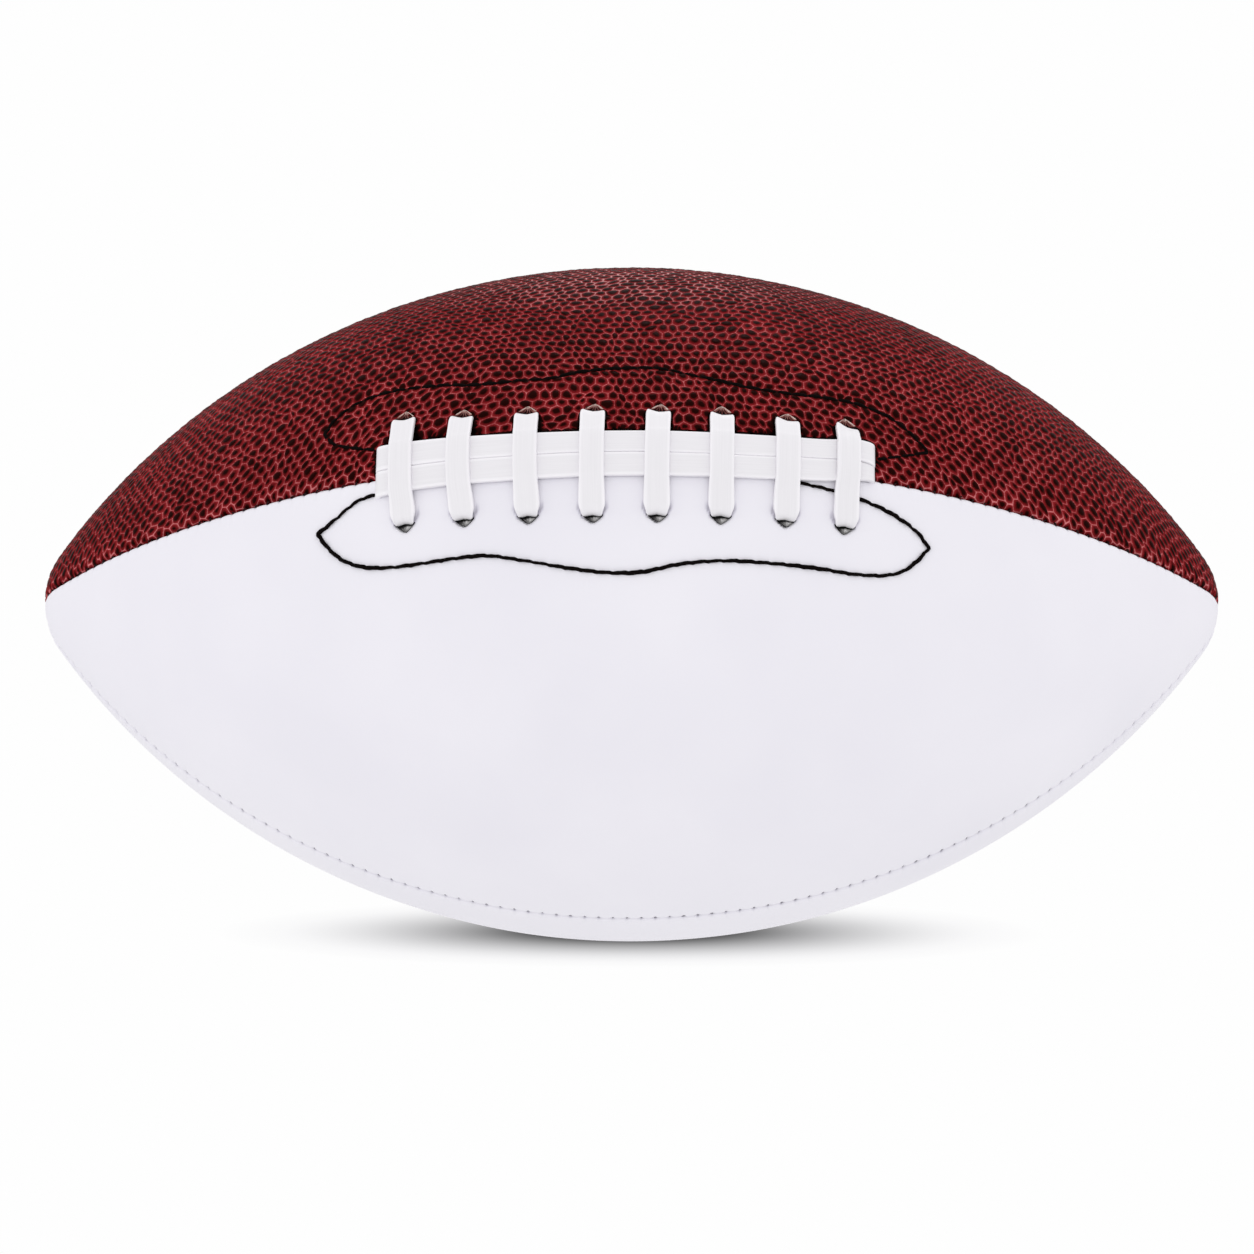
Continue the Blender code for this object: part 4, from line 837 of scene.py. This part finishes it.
def cut_corners(route, times):
    """Round a route by cutting each corner at a quarter and three quarters, again and again."""
    for _ in range(times):
        near = 0.75 * route[:-1] + 0.25 * route[1:]
        far = 0.25 * route[:-1] + 0.75 * route[1:]
        inner = np.stack([near, far], axis=1).reshape(-1, route.shape[1])
        route = np.concatenate([route[:1], inner, route[-1:]])
    return route


def unit(vectors):
    """Each vector divided by its own length."""
    return vectors / np.maximum(np.linalg.norm(vectors, axis=-1, keepdims=True), 1e-12)


def tube(section, centres, across, up):
    """Points of a tube: a section of (across, up) offsets for each ring, carried along the centres."""
    return centres[:, None] + section[..., :1] * across[:, None] + section[..., 1:] * up[:, None]


def lace_vinyl():
    """Flexible white vinyl: satin, with a painted highlight that makes its rounded edges whiter, and drawn
    lines along it.

    The lines are noise of 0.3 mm across the lace, stretched to 17 mm along it.
    """
    made, tree = new_material("white_lace_vinyl")
    along, across = (add_node(tree, "ShaderNodeAttribute", attribute_name=key).outputs["Fac"]
                     for key in ("along", "across"))
    drawn = add_node(tree, "ShaderNodeCombineXYZ", {"X": along, "Y": across})
    lines = add_node(tree, "ShaderNodeMapping",
                     {"Vector": drawn.outputs["Vector"], "Scale": (60.0, 3200.0, 1.0)})
    grain = add_node(tree, "ShaderNodeTexNoise",
                     {"Vector": lines.outputs["Vector"], "Scale": 1.0, "Detail": 3.0}).outputs["Fac"]
    tint = add_node(tree, "ShaderNodeValToRGB", {"Fac": grain}, stops=[(0.3, "E8E6EA"), (0.7, "ECEAEE")])
    # Painted highlight: the colour is made up to 9 % lighter at the strip's rounded edges.
    aside = add_node(tree, "ShaderNodeMath", {0: across}, operation="ABSOLUTE")
    painted_edge_highlight = add_node(tree, "ShaderNodeMapRange", {"Value": aside.outputs["Value"], "From Min": 0.0020,
                                                   "From Max": 0.0026, "To Min": 1.0, "To Max": 1.09})
    colour = add_node(tree, "ShaderNodeVectorMath",
                      {0: tint.outputs["Color"], "Scale": painted_edge_highlight.outputs["Result"]}, operation="SCALE")
    bump = add_node(tree, "ShaderNodeBump", {"Height": grain, "Distance": 0.00004, "Strength": 0.3})
    shader = add_node(tree, "ShaderNodeBsdfPrincipled",
                      {"Base Color": colour.outputs["Vector"], "Roughness": 0.42, "IOR": 1.52,
                       "Specular IOR Level": 0.4, "Normal": bump.outputs["Normal"]})
    add_node(tree, "ShaderNodeOutputMaterial", {"Surface": shader.outputs["BSDF"]})
    return made


route = cut_corners(lace_route(), 3)
s, across, lift, width, heading, ahead = route.T
near, far = (on_ball(s + side * np.cos(heading) * width / 2, across + side * np.sin(heading) * width / 2,
                     lift) for side in (-1, 1))
centres = (near + far) / 2
sideways = unit(far - near)
upward = unit(np.cross(np.gradient(centres, axis=0), sideways))
if (upward * outward(s, seam_at(LACE_SEAM, s))).sum(axis=-1).mean() < 0:
    upward = -upward
LACE_SECTION = np.array([(-1, -0.45), (-1, 0.45), (-0.985, 0.85), (-0.93, 1.0), (-0.84, 1.0),
                         (-0.4, 1.0), (0, 1.0), (0.4, 1.0), (0.84, 1.0), (0.93, 1.0), (0.985, 0.85),
                         (1, 0.45), (1, -0.45), (0.93, -1.0), (0.84, -1.0), (0, -1.0), (-0.84, -1.0),
                         (-0.93, -1.0)])
side_x, side_y = LACE_SECTION.T
# Where the edges run ahead, the strip hollows: nothing at its middle, most just inside its edges.
hollow = side_x ** 2 * (1.5 - 1.1 * side_x ** 4)
section = np.stack([side_x * width[:, None] / 2,
                    side_y * LACE_THICKNESS / 2 + hollow * ahead[:, None]], axis=-1)
length = np.concatenate([[0], np.cumsum(np.linalg.norm(np.diff(centres, axis=0), axis=1))])
lace = make_mesh("lace_strip", tube(section, centres, sideways, upward).reshape(-1, 3),
                 tube_faces(len(centres), len(side_x)),
                 {"along": np.repeat(length, len(side_x)), "across": section[..., 0].ravel()})
lace.data.materials.append(lace_vinyl())
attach(lace, "root")
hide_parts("lace")

# Torn lace holes
# Each cross strap comes out through a slit that it has dragged open. Beyond its end a small
# three-sided notch shows the cut thickness of the sheet: tan fibres on the brown side, and pale
# grey backing on the white side, both painted black towards the strap for the shadow in the slit.
# Their colour also carries painted light and shade on the creases and a painted highlight.

HOLE_ROWS, HOLE_COLUMNS = 9, 25
HOLE_FLOOR, HOLE_BACKING = 0.0006, 0.0005


def cut_edge(name, stops):
    """Raw cut leather: matte fibres of 0.4 mm in a ramp from black, a painted shadow in the slit, to light
    at the torn rim.
    """
    made, tree = new_material(name)
    shade = add_node(tree, "ShaderNodeAttribute", attribute_name="shade")
    place = add_node(tree, "ShaderNodeTexCoord")
    fibres = add_node(tree, "ShaderNodeTexNoise",
                      {"Vector": place.outputs["Object"], "Scale": 2500.0, "Detail": 3.0})
    mixed = add_node(tree, "ShaderNodeMath", {0: fibres.outputs["Fac"], 1: 0.5, 2: shade.outputs["Fac"]},
                     operation="MULTIPLY_ADD")
    offset = add_node(tree, "ShaderNodeMath", {0: mixed.outputs["Value"], 1: 0.25}, operation="SUBTRACT")
    colour = add_node(tree, "ShaderNodeValToRGB", {"Fac": offset.outputs["Value"]}, stops=stops)
    shader = add_node(tree, "ShaderNodeBsdfPrincipled",
                      {"Base Color": colour.outputs["Color"], "Roughness": 0.85, "Specular IOR Level": 0.1})
    add_node(tree, "ShaderNodeOutputMaterial", {"Surface": shader.outputs["BSDF"]})
    return made


def hole_edges(places, reach, side, size, creases, rim, tones, seed):
    """Eight notches as shallow three-sided dishes, each closed by a back a little lower.

    side is 1 above the seam and -1 below it. v runs from the strap to the rim and u across.
    Creases are a cosine of u that spreads from the strap. The tones are for the floor, its gleam,
    a painted highlight, the creases, whose light and dark are painted, the rim and a dark line of
    painted shade at the left, and the shade falls to black at the slit, a painted shadow.
    """
    rng = np.random.default_rng(seed)
    v, u = np.mgrid[0:1:HOLE_ROWS * 1j, -1:1:HOLE_COLUMNS * 1j]
    points, shades, faces = [], [], []
    for place, end in zip(places, reach):
        lean, tall = rng.uniform(-0.25, 0.25), size[1] * rng.uniform(0.85, 1.12)
        half = size[0] * (0.04 + 0.96 * (1 - v) ** 0.85)
        s = place + u * half + lean * size[0] * v
        away = end - 0.0002 + v * tall - 0.0004 * (1 - v) * (1 - u ** 2)
        waves = np.cos(13.0 * u / (1.25 - 0.6 * v) + rng.uniform(0, 6)) * (1 - u ** 4) * (1 - 0.4 * v)
        hollow = (1 - u ** 4) * (1 - v ** 3)
        lift = rim - (HOLE_FLOOR + rim) * hollow + creases * waves
        ring = rng.uniform(0.0, 1.0, u.shape)
        # Painted light and shade: black for the shadow in the slit, a dark line at the left wall, a
        # highlight in the gleam, and the creases' waves lighten and darken the colour.
        slit = np.exp(-(np.maximum(v - 0.20, 0.0) / (0.18 - 0.06 * u)) ** 2)
        outline = smooth(-u, 0.75, 1.0)
        gleam = np.exp(-((u - 0.35) / 0.55) ** 2 - ((v - 0.5) / 0.32) ** 2)
        border = np.maximum(np.abs(u) ** 4, v ** 4)
        shade = tones[0] + tones[1] * gleam + tones[2] * waves + 0.12 * (ring - 0.5) - 0.95 * slit
        shade += tones[3] * border - tones[4] * outline
        front = on_ball(s, side * away, lift)
        back = on_ball(s, side * away, lift - HOLE_BACKING)
        count = sum(len(part) for part in points)
        number = count + np.arange(v.size).reshape(v.shape)
        lower = number + v.size
        quads = [np.stack([number[:-1, :-1], number[:-1, 1:], number[1:, 1:], number[1:, :-1]], axis=-1),
                 np.stack([lower[:-1, :-1], lower[1:, :-1], lower[1:, 1:], lower[:-1, 1:]], axis=-1)]
        rim_row = np.concatenate([number[0, :-1], number[:-1, -1], number[-1, :0:-1], number[:0:-1, 0]])
        beside = np.roll(rim_row, -1)
        quads.append(np.stack([rim_row, rim_row + v.size, beside + v.size, beside], axis=-1))
        flat_quads = np.concatenate([quad.reshape(-1, 4) for quad in quads])
        faces.append(flat_quads[:, ::side])
        points += [front.reshape(-1, 3), back.reshape(-1, 3)]
        shades += [shade.ravel(), 0 * shade.ravel()]
    return np.concatenate(points), faces, {"shade": np.concatenate(shades)}


tan_edge = cut_edge("raw_tan_leather_edge", [(0.0, "0A0404"), (1.0, "E8D4CC"), (0.25, "3C1A18"),
                                            (0.5, "7C4844"), (0.75, "BC948C")])
grey_edge = cut_edge("raw_grey_backing_edge", [(0.0, "080808"), (1.0, "E0E0E0"), (0.3, "3C3B3B"),
                                              (0.55, "858484"), (0.8, "BDBCBC")])
for name, places, reach, side, size, creases, rim, tones, stuff in (
        ("brown_hole_edges", HOLE_TOP_PLACES, STRAP_TOPS, 1, (0.0029, 0.0021), 0.00024, 0.0006,
         (-0.04, 0.14, 0.48, 1.15, 0.0), tan_edge),
        ("white_hole_edges", HOLE_BOTTOM_PLACES, STRAP_BOTTOMS, -1, (0.0025, 0.0020), 0.00004, 0.00006,
         (0.42, 0.40, 0.08, 0.0, 0.3), grey_edge)):
    piece = make_mesh(name, *hole_edges(places, reach, side, size, creases, rim, tones, 5))
    piece.data.materials.append(stuff)
    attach(piece, "root")

# Black lock stitching
# Two leaf-shaped lines of heavy bonded black thread hold the facings behind the lacing. The
# machine lays each stitch a little askew, so that they overlap like a rope, and pulls the ends down.

LOCK_STITCH = 0.0036
THREAD_RADIUS = 0.00046
TWIST = 0.0017
ASKEW = 0.00010
TUCKED_LENGTH, TUCKED_DEPTH = 0.0012, 0.0016


def black_thread():
    """Bonded polyester thread: black and slightly waxy, with a fuzz of 0.2 mm. Its plies are mesh."""
    made, tree = new_material("bonded_black_thread")
    place = add_node(tree, "ShaderNodeTexCoord")
    fibres = add_node(tree, "ShaderNodeTexNoise",
                      {"Vector": place.outputs["Object"], "Scale": 5000.0, "Detail": 2.0}).outputs["Fac"]
    colour = add_node(tree, "ShaderNodeValToRGB", {"Fac": fibres},
                      stops=[(0.35, "070505"), (0.75, "140E0D")])
    bump = add_node(tree, "ShaderNodeBump", {"Height": fibres, "Distance": 0.00004, "Strength": 0.6})
    shader = add_node(tree, "ShaderNodeBsdfPrincipled",
                      {"Base Color": colour.outputs["Color"], "Roughness": 0.7, "Specular IOR Level": 0.02,
                       "Normal": bump.outputs["Normal"]})
    add_node(tree, "ShaderNodeOutputMaterial", {"Surface": shader.outputs["BSDF"]})
    return made


def sewn_line(outline, side, proud, sink):
    """A lock-stitched thread along an outline on the ball, as a twisted two-ply tube.

    Each stitch swings from one side of the outline to the other, dips by sink where it goes
    through the leather, and has its own stoutness. The section is a circle with two low humps,
    which turn once in two twists. Both ends of the thread dive through the leather.
    """
    steps = np.linalg.norm(np.diff(outline, axis=0), axis=1)
    run = np.concatenate([[0], np.cumsum(steps)])
    at = np.arange(0.0, run[-1], LOCK_STITCH / 9)
    s, away = np.interp(at, run, outline[:, 0]), np.interp(at, run, outline[:, 1])
    heading = unit(np.stack([np.gradient(s), np.gradient(away)], axis=-1))
    phase = np.mod(at / LOCK_STITCH, 1.0)
    askew = ASKEW * (0.5 - phase) * smooth(np.abs(phase - 0.5), 0.5, 0.42)
    s, away = s - 2 * askew * heading[:, 1], away + 2 * askew * heading[:, 0]
    dip = np.abs(np.cos(math.pi * phase)) ** 8
    ends = smooth(at, TUCKED_LENGTH, 0.0) + smooth(at, at[-1] - TUCKED_LENGTH, at[-1])
    centres = on_ball(s, side * away, proud - sink * dip - TUCKED_DEPTH * ends)
    forward = unit(np.gradient(centres, axis=0))
    up = outward(s, seam_at(LACE_SEAM, s))
    across = unit(np.cross(forward, up))
    up = np.cross(across, forward)
    turn = np.linspace(0, 2 * math.pi, 10, endpoint=False)
    uneven = np.random.default_rng(side + 1).uniform(0.72, 1.14, int(at[-1] / LOCK_STITCH) + 3)
    stout = np.interp(at / LOCK_STITCH, np.arange(len(uneven)), uneven)[:, None]
    plies = stout + 0.06 * np.cos(2 * (turn - 2 * math.pi * at[:, None] / (2 * TWIST)))
    section = THREAD_RADIUS * plies[..., None] * np.stack([np.cos(turn), np.sin(turn)], axis=-1)
    return tube(section, centres, across, up).reshape(-1, 3), tube_faces(len(centres), len(turn))


lock_thread = black_thread()
for name, node, outline, side, proud, sink in (
        ("brown_lock_stitching", "brown_lace_facing_stitch", BROWN_LEAF, 1, 0.0, 0.00045),
        ("white_lock_stitching", "white_lace_facing_stitch", WHITE_LEAF, -1, 0.00018, 0.0004)):
    piece = make_mesh(name, *sewn_line(outline, side, proud, sink))
    piece.data.materials.append(lock_thread)
    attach(piece, "root")
    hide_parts(node)

# Seam threads
# The gores are lock-stitched edge to edge on the inside. From outside one sees only where each
# stitch crosses the seam: short bars of thread deep between the two rolled edges.

BAR_RADIUS = 0.00021


def seam_bars(seam, low, high, reach, lift):
    """One bar of thread over a seam at every stitch, each a short bent tube with closed ends.

    A bar reaches to both sides as the square of its run, and turns down at its ends. Its slant,
    length and depth differ from stitch to stitch.
    """
    places = SEAM_STITCH * np.arange(math.ceil(low / SEAM_STITCH), math.floor(high / SEAM_STITCH) + 1)
    bend = np.linspace(-1.0, 1.0, 7)
    turn = np.linspace(0, 2 * math.pi, 6, endpoint=False)
    rng = np.random.default_rng(seam)
    wander, share, sunk = rng.uniform(0.0, 1.0, (3, len(places), 1))
    s = places[:, None] + 0.0008 * (wander - 0.3) * bend
    across = np.where(bend < 0, -reach[0] * bend ** 2, reach[1] * bend ** 2) * (0.45 + 0.65 * share)
    _, r, _ = meridian(s)
    angle = seam_at(seam, s) + across / r
    depth = lift - 0.0007 * bend ** 6 - 0.00018 * sunk
    up = outward(s, angle)
    centres = skin(s, angle) + up * depth[..., None]
    along = np.zeros_like(centres) + [1.0, 0.0, 0.0]
    section = BAR_RADIUS * np.stack([np.cos(turn), np.sin(turn)], axis=-1)
    rings = (centres[:, :, None] + section[:, :1] * along[:, :, None] + section[:, 1:] * up[:, :, None])
    points = rings.reshape(-1, 3)
    quads, fans = tube_faces(len(bend), len(turn))
    count = len(bend) * len(turn)
    shift = (count * np.arange(len(places)))[:, None, None]
    return points, [(quads[None] + shift).reshape(-1, 4), (fans[None] + shift).reshape(-1, 3)]


def thread_colour(name, dark, light):
    """Waxed polyester thread in two close tones, matte, with fibres of 0.25 mm."""
    made, tree = new_material(name)
    place = add_node(tree, "ShaderNodeTexCoord")
    fibres = add_node(tree, "ShaderNodeTexNoise",
                      {"Vector": place.outputs["Object"], "Scale": 4000.0, "Detail": 2.0})
    colour = add_node(tree, "ShaderNodeValToRGB", {"Fac": fibres.outputs["Fac"]},
                      stops=[(0.35, dark), (0.7, light)])
    shader = add_node(tree, "ShaderNodeBsdfPrincipled",
                      {"Base Color": colour.outputs["Color"], "Roughness": 0.7, "Specular IOR Level": 0.2})
    add_node(tree, "ShaderNodeOutputMaterial", {"Surface": shader.outputs["BSDF"]})
    return made


dark_thread = thread_colour("dark_brown_seam_thread", "140A0A", "2E1A1A")
pale_thread = thread_colour("white_seam_thread", "7E7C84", "A8A6AE")
LACING_END = 0.0600
for name, node, seam, low, high, reach, lift, stuff, slot in (
        ("right_lace_seam_bars", "right_lace_seam_thread", LACE_SEAM, LACING_END, SEWN_END,
         (0.0009, 0.0007), -0.00045, dark_thread, "brown_thread"),
        ("left_lace_seam_bars", "left_lace_seam_thread", LACE_SEAM, -SEWN_END, -LACING_END,
         (0.0009, 0.0007), -0.00045, dark_thread, "brown_thread"),
        ("back_seam_bars", "back_seam_thread", BACK_SEAM, -SEWN_END, SEWN_END,
         (0.0009, 0.0009), -0.0006, dark_thread, "brown_thread"),
        ("bottom_seam_bars", "bottom_seam_thread", BOTTOM_SEAM, -SEWN_END, SEWN_END,
         (0.0007, 0.0007), -0.00050, dark_thread, "brown_thread"),
        ("lower_seam_bars", "lower_seam_thread", LOWER_SEAM, -SEWN_END, SEWN_END,
         (0.0009, 0.0005), -0.0005, pale_thread, "white_thread")):
    piece = make_mesh(name, *seam_bars(seam, low, high, reach, lift))
    piece.data.materials.append(stuff)
    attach(piece, "root")
    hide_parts(node)

# Valve
# A moulded rubber button stands in a punched hole of the brown back panel, bonded to the bladder
# inside, with a small self-sealing plug that the pump's needle goes through.

VALVE_SIDES = 48


def lathe(profile, s, angle):
    """Turn a closed profile of (radius, depth) about the ball's outward direction at s and angle."""
    turn = np.linspace(0, 2 * math.pi, VALVE_SIDES, endpoint=False)
    out = outward(np.array(s), np.array(angle))
    level = np.array([1.0, 0.0, 0.0])
    side = np.cross(out, level)
    radius, depth = np.array(profile).T
    ring = np.cos(turn)[:, None, None] * level + np.sin(turn)[:, None, None] * side
    points = skin(np.array(s), np.array(angle)) + radius[:, None] * ring - depth[:, None] * out
    number = np.arange(VALVE_SIDES * len(profile)).reshape(VALVE_SIDES, -1)
    after, beside = np.roll(number, -1, axis=0), np.roll(number, -1, axis=1)
    quads = np.stack([number, beside, np.roll(after, -1, axis=1), after], axis=-1).reshape(-1, 4)
    return points.reshape(-1, 3), [quads]


def rubber(name, dark, light, roughness):
    """Moulded rubber: matte, with a dusty bloom in soft patches of 2 mm."""
    made, tree = new_material(name)
    place = add_node(tree, "ShaderNodeTexCoord")
    bloom = add_node(tree, "ShaderNodeTexNoise",
                     {"Vector": place.outputs["Object"], "Scale": 500.0, "Detail": 4.0})
    colour = add_node(tree, "ShaderNodeValToRGB", {"Fac": bloom.outputs["Fac"]},
                      stops=[(0.3, dark), (0.7, light)])
    shader = add_node(tree, "ShaderNodeBsdfPrincipled",
                      {"Base Color": colour.outputs["Color"], "Roughness": roughness,
                       "Specular IOR Level": 0.3})
    add_node(tree, "ShaderNodeOutputMaterial", {"Surface": shader.outputs["BSDF"]})
    return made


# Closed profiles of (radius, depth under the leather's face), from the rim of the bore outwards.
housing = [(0.00215, 0.0006), (0.0026, 0.00035), (0.0029, 0.00025), (0.0035, 0.0002), (0.0041, 0.0002),
           (0.0044, 0.0003), (0.0045, 0.0006), (0.0045, 0.0022), (0.0040, 0.0026), (0.0040, 0.0042),
           (0.0085, 0.0046), (0.0085, 0.0056), (0.0040, 0.0066), (0.0038, 0.0130), (0.0030, 0.0150),
           (0.0010, 0.0150), (0.0010, 0.0095), (0.00215, 0.0095)]
plug = [(0.0004, 0.0014), (0.0006, 0.0009), (0.0011, 0.00055), (0.0018, 0.0005), (0.0021, 0.0007),
        (0.0021, 0.0092), (0.0004, 0.0092)]
for name, node, profile, stuff, slot in (
        ("valve_button", "valve_housing", housing, rubber("black_valve_rubber", "121212", "232222", 0.5),
         "valve_rubber"),
        ("valve_plug_face", "valve_plug", plug, rubber("grey_plug_rubber", "2A2928", "3A3938", 0.6),
         "plug_rubber")):
    piece = make_mesh(name, *lathe(profile, 0.0, VALVE_ANGLE))
    piece.data.materials.append(stuff)
    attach(piece, "root")
    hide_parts(node)

# Pieces inside
# The linings, facings, lace guard and bladder are hidden once the ball is blown up. They keep
# their built shapes and get the look of their stuff.


def woven_cloth():
    """Three-ply cotton and polyester lining: a plain weave of about 0.8 mm, off-white and matte."""
    made, tree = new_material("woven_lining_cloth")
    place = add_node(tree, "ShaderNodeTexCoord")
    warp, weft = (add_node(tree, "ShaderNodeTexWave",
                           {"Vector": place.outputs["Object"], "Scale": 400.0, "Distortion": 0.4},
                           bands_direction=direction).outputs["Fac"] for direction in ("X", "Z"))
    weave = add_node(tree, "ShaderNodeMath", {0: warp, 1: weft}, operation="MULTIPLY").outputs["Value"]
    colour = add_node(tree, "ShaderNodeValToRGB", {"Fac": weave}, stops=[(0.0, "A59F92"), (1.0, "D8D3C6")])
    bump = add_node(tree, "ShaderNodeBump", {"Height": weave, "Distance": 0.0001, "Strength": 0.6})
    shader = add_node(tree, "ShaderNodeBsdfPrincipled",
                      {"Base Color": colour.outputs["Color"], "Roughness": 0.9,
                       "Normal": bump.outputs["Normal"]})
    add_node(tree, "ShaderNodeOutputMaterial", {"Surface": shader.outputs["BSDF"]})
    return made


for stuff, names in (
        (woven_cloth(),
         ("brown_lace_lining", "brown_back_lining", "white_bottom_lining", "white_lace_lining")),
        (rubber("split_leather_facing", "7A5A46", "94705A", 0.8),
         ("brown_lace_facing", "white_lace_facing", "lace_guard")),
        (rubber("butyl_bladder_rubber", "161616", "242322", 0.45), ("bladder",))):
    for name in names:
        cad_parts[name].data.materials.clear()
        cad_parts[name].data.materials.append(stuff)

# Camera, floor and light
# A photographer's white sweep: a pale floor, a soft lamp above and behind, and fill from three
# sides. The paper's colour is darkened in an oval about the contact, a painted shadow over the
# real one, and goes over, for the camera, into pure white 56 mm before and behind it and 100 mm
# to its sides. World and paper light the ball evenly from all round; for all rays but the
# camera's the paper glows as if fully lit, a painted light.

EVEN_LIGHT = 0.93
OVAL_STRETCH, OVAL_SHIFT = (0.56, 1.0, 0.0), (0.0, -0.006, 0.0)

floor_material, tree = new_material("white_paper_sweep")
ray = add_node(tree, "ShaderNodeLightPath")
place = add_node(tree, "ShaderNodeTexCoord")
level = add_node(tree, "ShaderNodeVectorMath", {0: place.outputs["Object"], 1: OVAL_STRETCH, 2: OVAL_SHIFT},
                 operation="MULTIPLY_ADD")
distance = add_node(tree, "ShaderNodeVectorMath", {0: level.outputs["Vector"]}, operation="LENGTH")
far, grey = (add_node(tree, "ShaderNodeMapRange",
                      {"Value": distance.outputs["Value"], "From Min": start, "From Max": end})
             for start, end in ((0.010, 0.056), (0.0, 0.1)))
# Painted shadow: the paper's own colour goes from dark grey at the contact to near white 47 mm out.
tone = add_node(tree, "ShaderNodeValToRGB", {"Fac": grey.outputs["Result"]},
                stops=[(0.13, "2A2A2A"), (0.47, "F3F3F3"), (0.185, "5A5A5A"), (0.23, "7B7B7B"),
                       (0.28, "999999"), (0.33, "B4B4B4"), (0.38, "CECECE")])
paper = add_node(tree, "ShaderNodeBsdfDiffuse", {"Color": tone.outputs["Color"]})
white = add_node(tree, "ShaderNodeEmission", {"Color": linear("FEFEFE"), "Strength": 1.0})
seen = add_node(tree, "ShaderNodeMixShader", {0: far.outputs["Result"], 1: paper.outputs["BSDF"],
                                              2: white.outputs["Emission"]})
# Painted light: for all rays but the camera's the paper glows evenly, with no shadow of the ball.
bounce = add_node(tree, "ShaderNodeEmission", {"Color": (1, 1, 1, 1), "Strength": EVEN_LIGHT})
sweep = add_node(tree, "ShaderNodeMixShader",
                 {0: ray.outputs["Is Camera Ray"], 1: bounce.outputs["Emission"],
                  2: seen.outputs["Shader"]})
add_node(tree, "ShaderNodeOutputMaterial", {"Surface": sweep.outputs["Shader"]})
corners = np.array([[x, y, REST_HEIGHT] for x, y in ((-4, -4), (4, -4), (4, 4), (-4, 4))])
floor = make_mesh("floor", corners, [np.array([[0, 1, 2, 3]])])
floor.data.materials.append(floor_material)

world = bpy.data.worlds.new("studio")
bpy.context.scene.world = world
world.use_nodes = True
tree = world.node_tree
tree.nodes.clear()
ray = add_node(tree, "ShaderNodeLightPath")
room = add_node(tree, "ShaderNodeBackground", {"Color": (1, 1, 1, 1), "Strength": EVEN_LIGHT})
white = add_node(tree, "ShaderNodeBackground", {"Color": linear("FEFEFE"), "Strength": 1.0})
seen = add_node(tree, "ShaderNodeMixShader",
                {0: ray.outputs["Is Camera Ray"], 1: room.outputs["Background"],
                 2: white.outputs["Background"]})
add_node(tree, "ShaderNodeOutputWorld", {"Surface": seen.outputs["Shader"]})


def soft_lamp(name, place, target, size, power):
    """A square area lamp at a place, turned to face the target."""
    lamp = bpy.data.lights.new(name, "AREA")
    lamp.shape = "SQUARE"
    lamp.size = size
    lamp.energy = power
    made = bpy.data.objects.new(name, lamp)
    bpy.context.scene.collection.objects.link(made)
    x, y, z = np.subtract(target, place)
    made.location = place
    made.rotation_euler = (math.atan2(math.hypot(x, y), -z), 0.0, math.atan2(y, x) - math.pi / 2)


soft_lamp("top_softbox", (0.1, 0.42, 1.05), (0, 0, 0), 0.28, 1.6)
soft_lamp("front_fill", (-0.25, -1.5, 0.4), (0, 0, 0), 0.9, 1.5)
soft_lamp("left_fill", (-1.3, -0.35, 0.1), (0, 0, 0), 0.8, 1.2)
soft_lamp("right_fill", (1.3, -0.35, 0.1), (0, 0, 0), 0.8, 1.0)

CAMERA_DISTANCE = 1.203
CAMERA_RISE = math.radians(4.85)
CAMERA_SWING = math.radians(1.15)
PICTURE_SIZE = 1254
lens = bpy.data.cameras.new("camera")
lens.lens = 144.5
lens.sensor_width = 36.0
lens.shift_x = -3.5 / PICTURE_SIZE
lens.shift_y = -22.0 / PICTURE_SIZE
lens.clip_end = 20.0
camera = bpy.data.objects.new("camera", lens)
camera.location = (CAMERA_DISTANCE * math.cos(CAMERA_RISE) * math.sin(CAMERA_SWING),
                   -CAMERA_DISTANCE * math.cos(CAMERA_RISE) * math.cos(CAMERA_SWING),
                   CAMERA_DISTANCE * math.sin(CAMERA_RISE))
camera.rotation_euler = (math.pi / 2 - CAMERA_RISE, 0.0, CAMERA_SWING)
bpy.context.scene.collection.objects.link(camera)
bpy.context.scene.camera = camera
bpy.context.scene.view_settings.view_transform = "Standard"
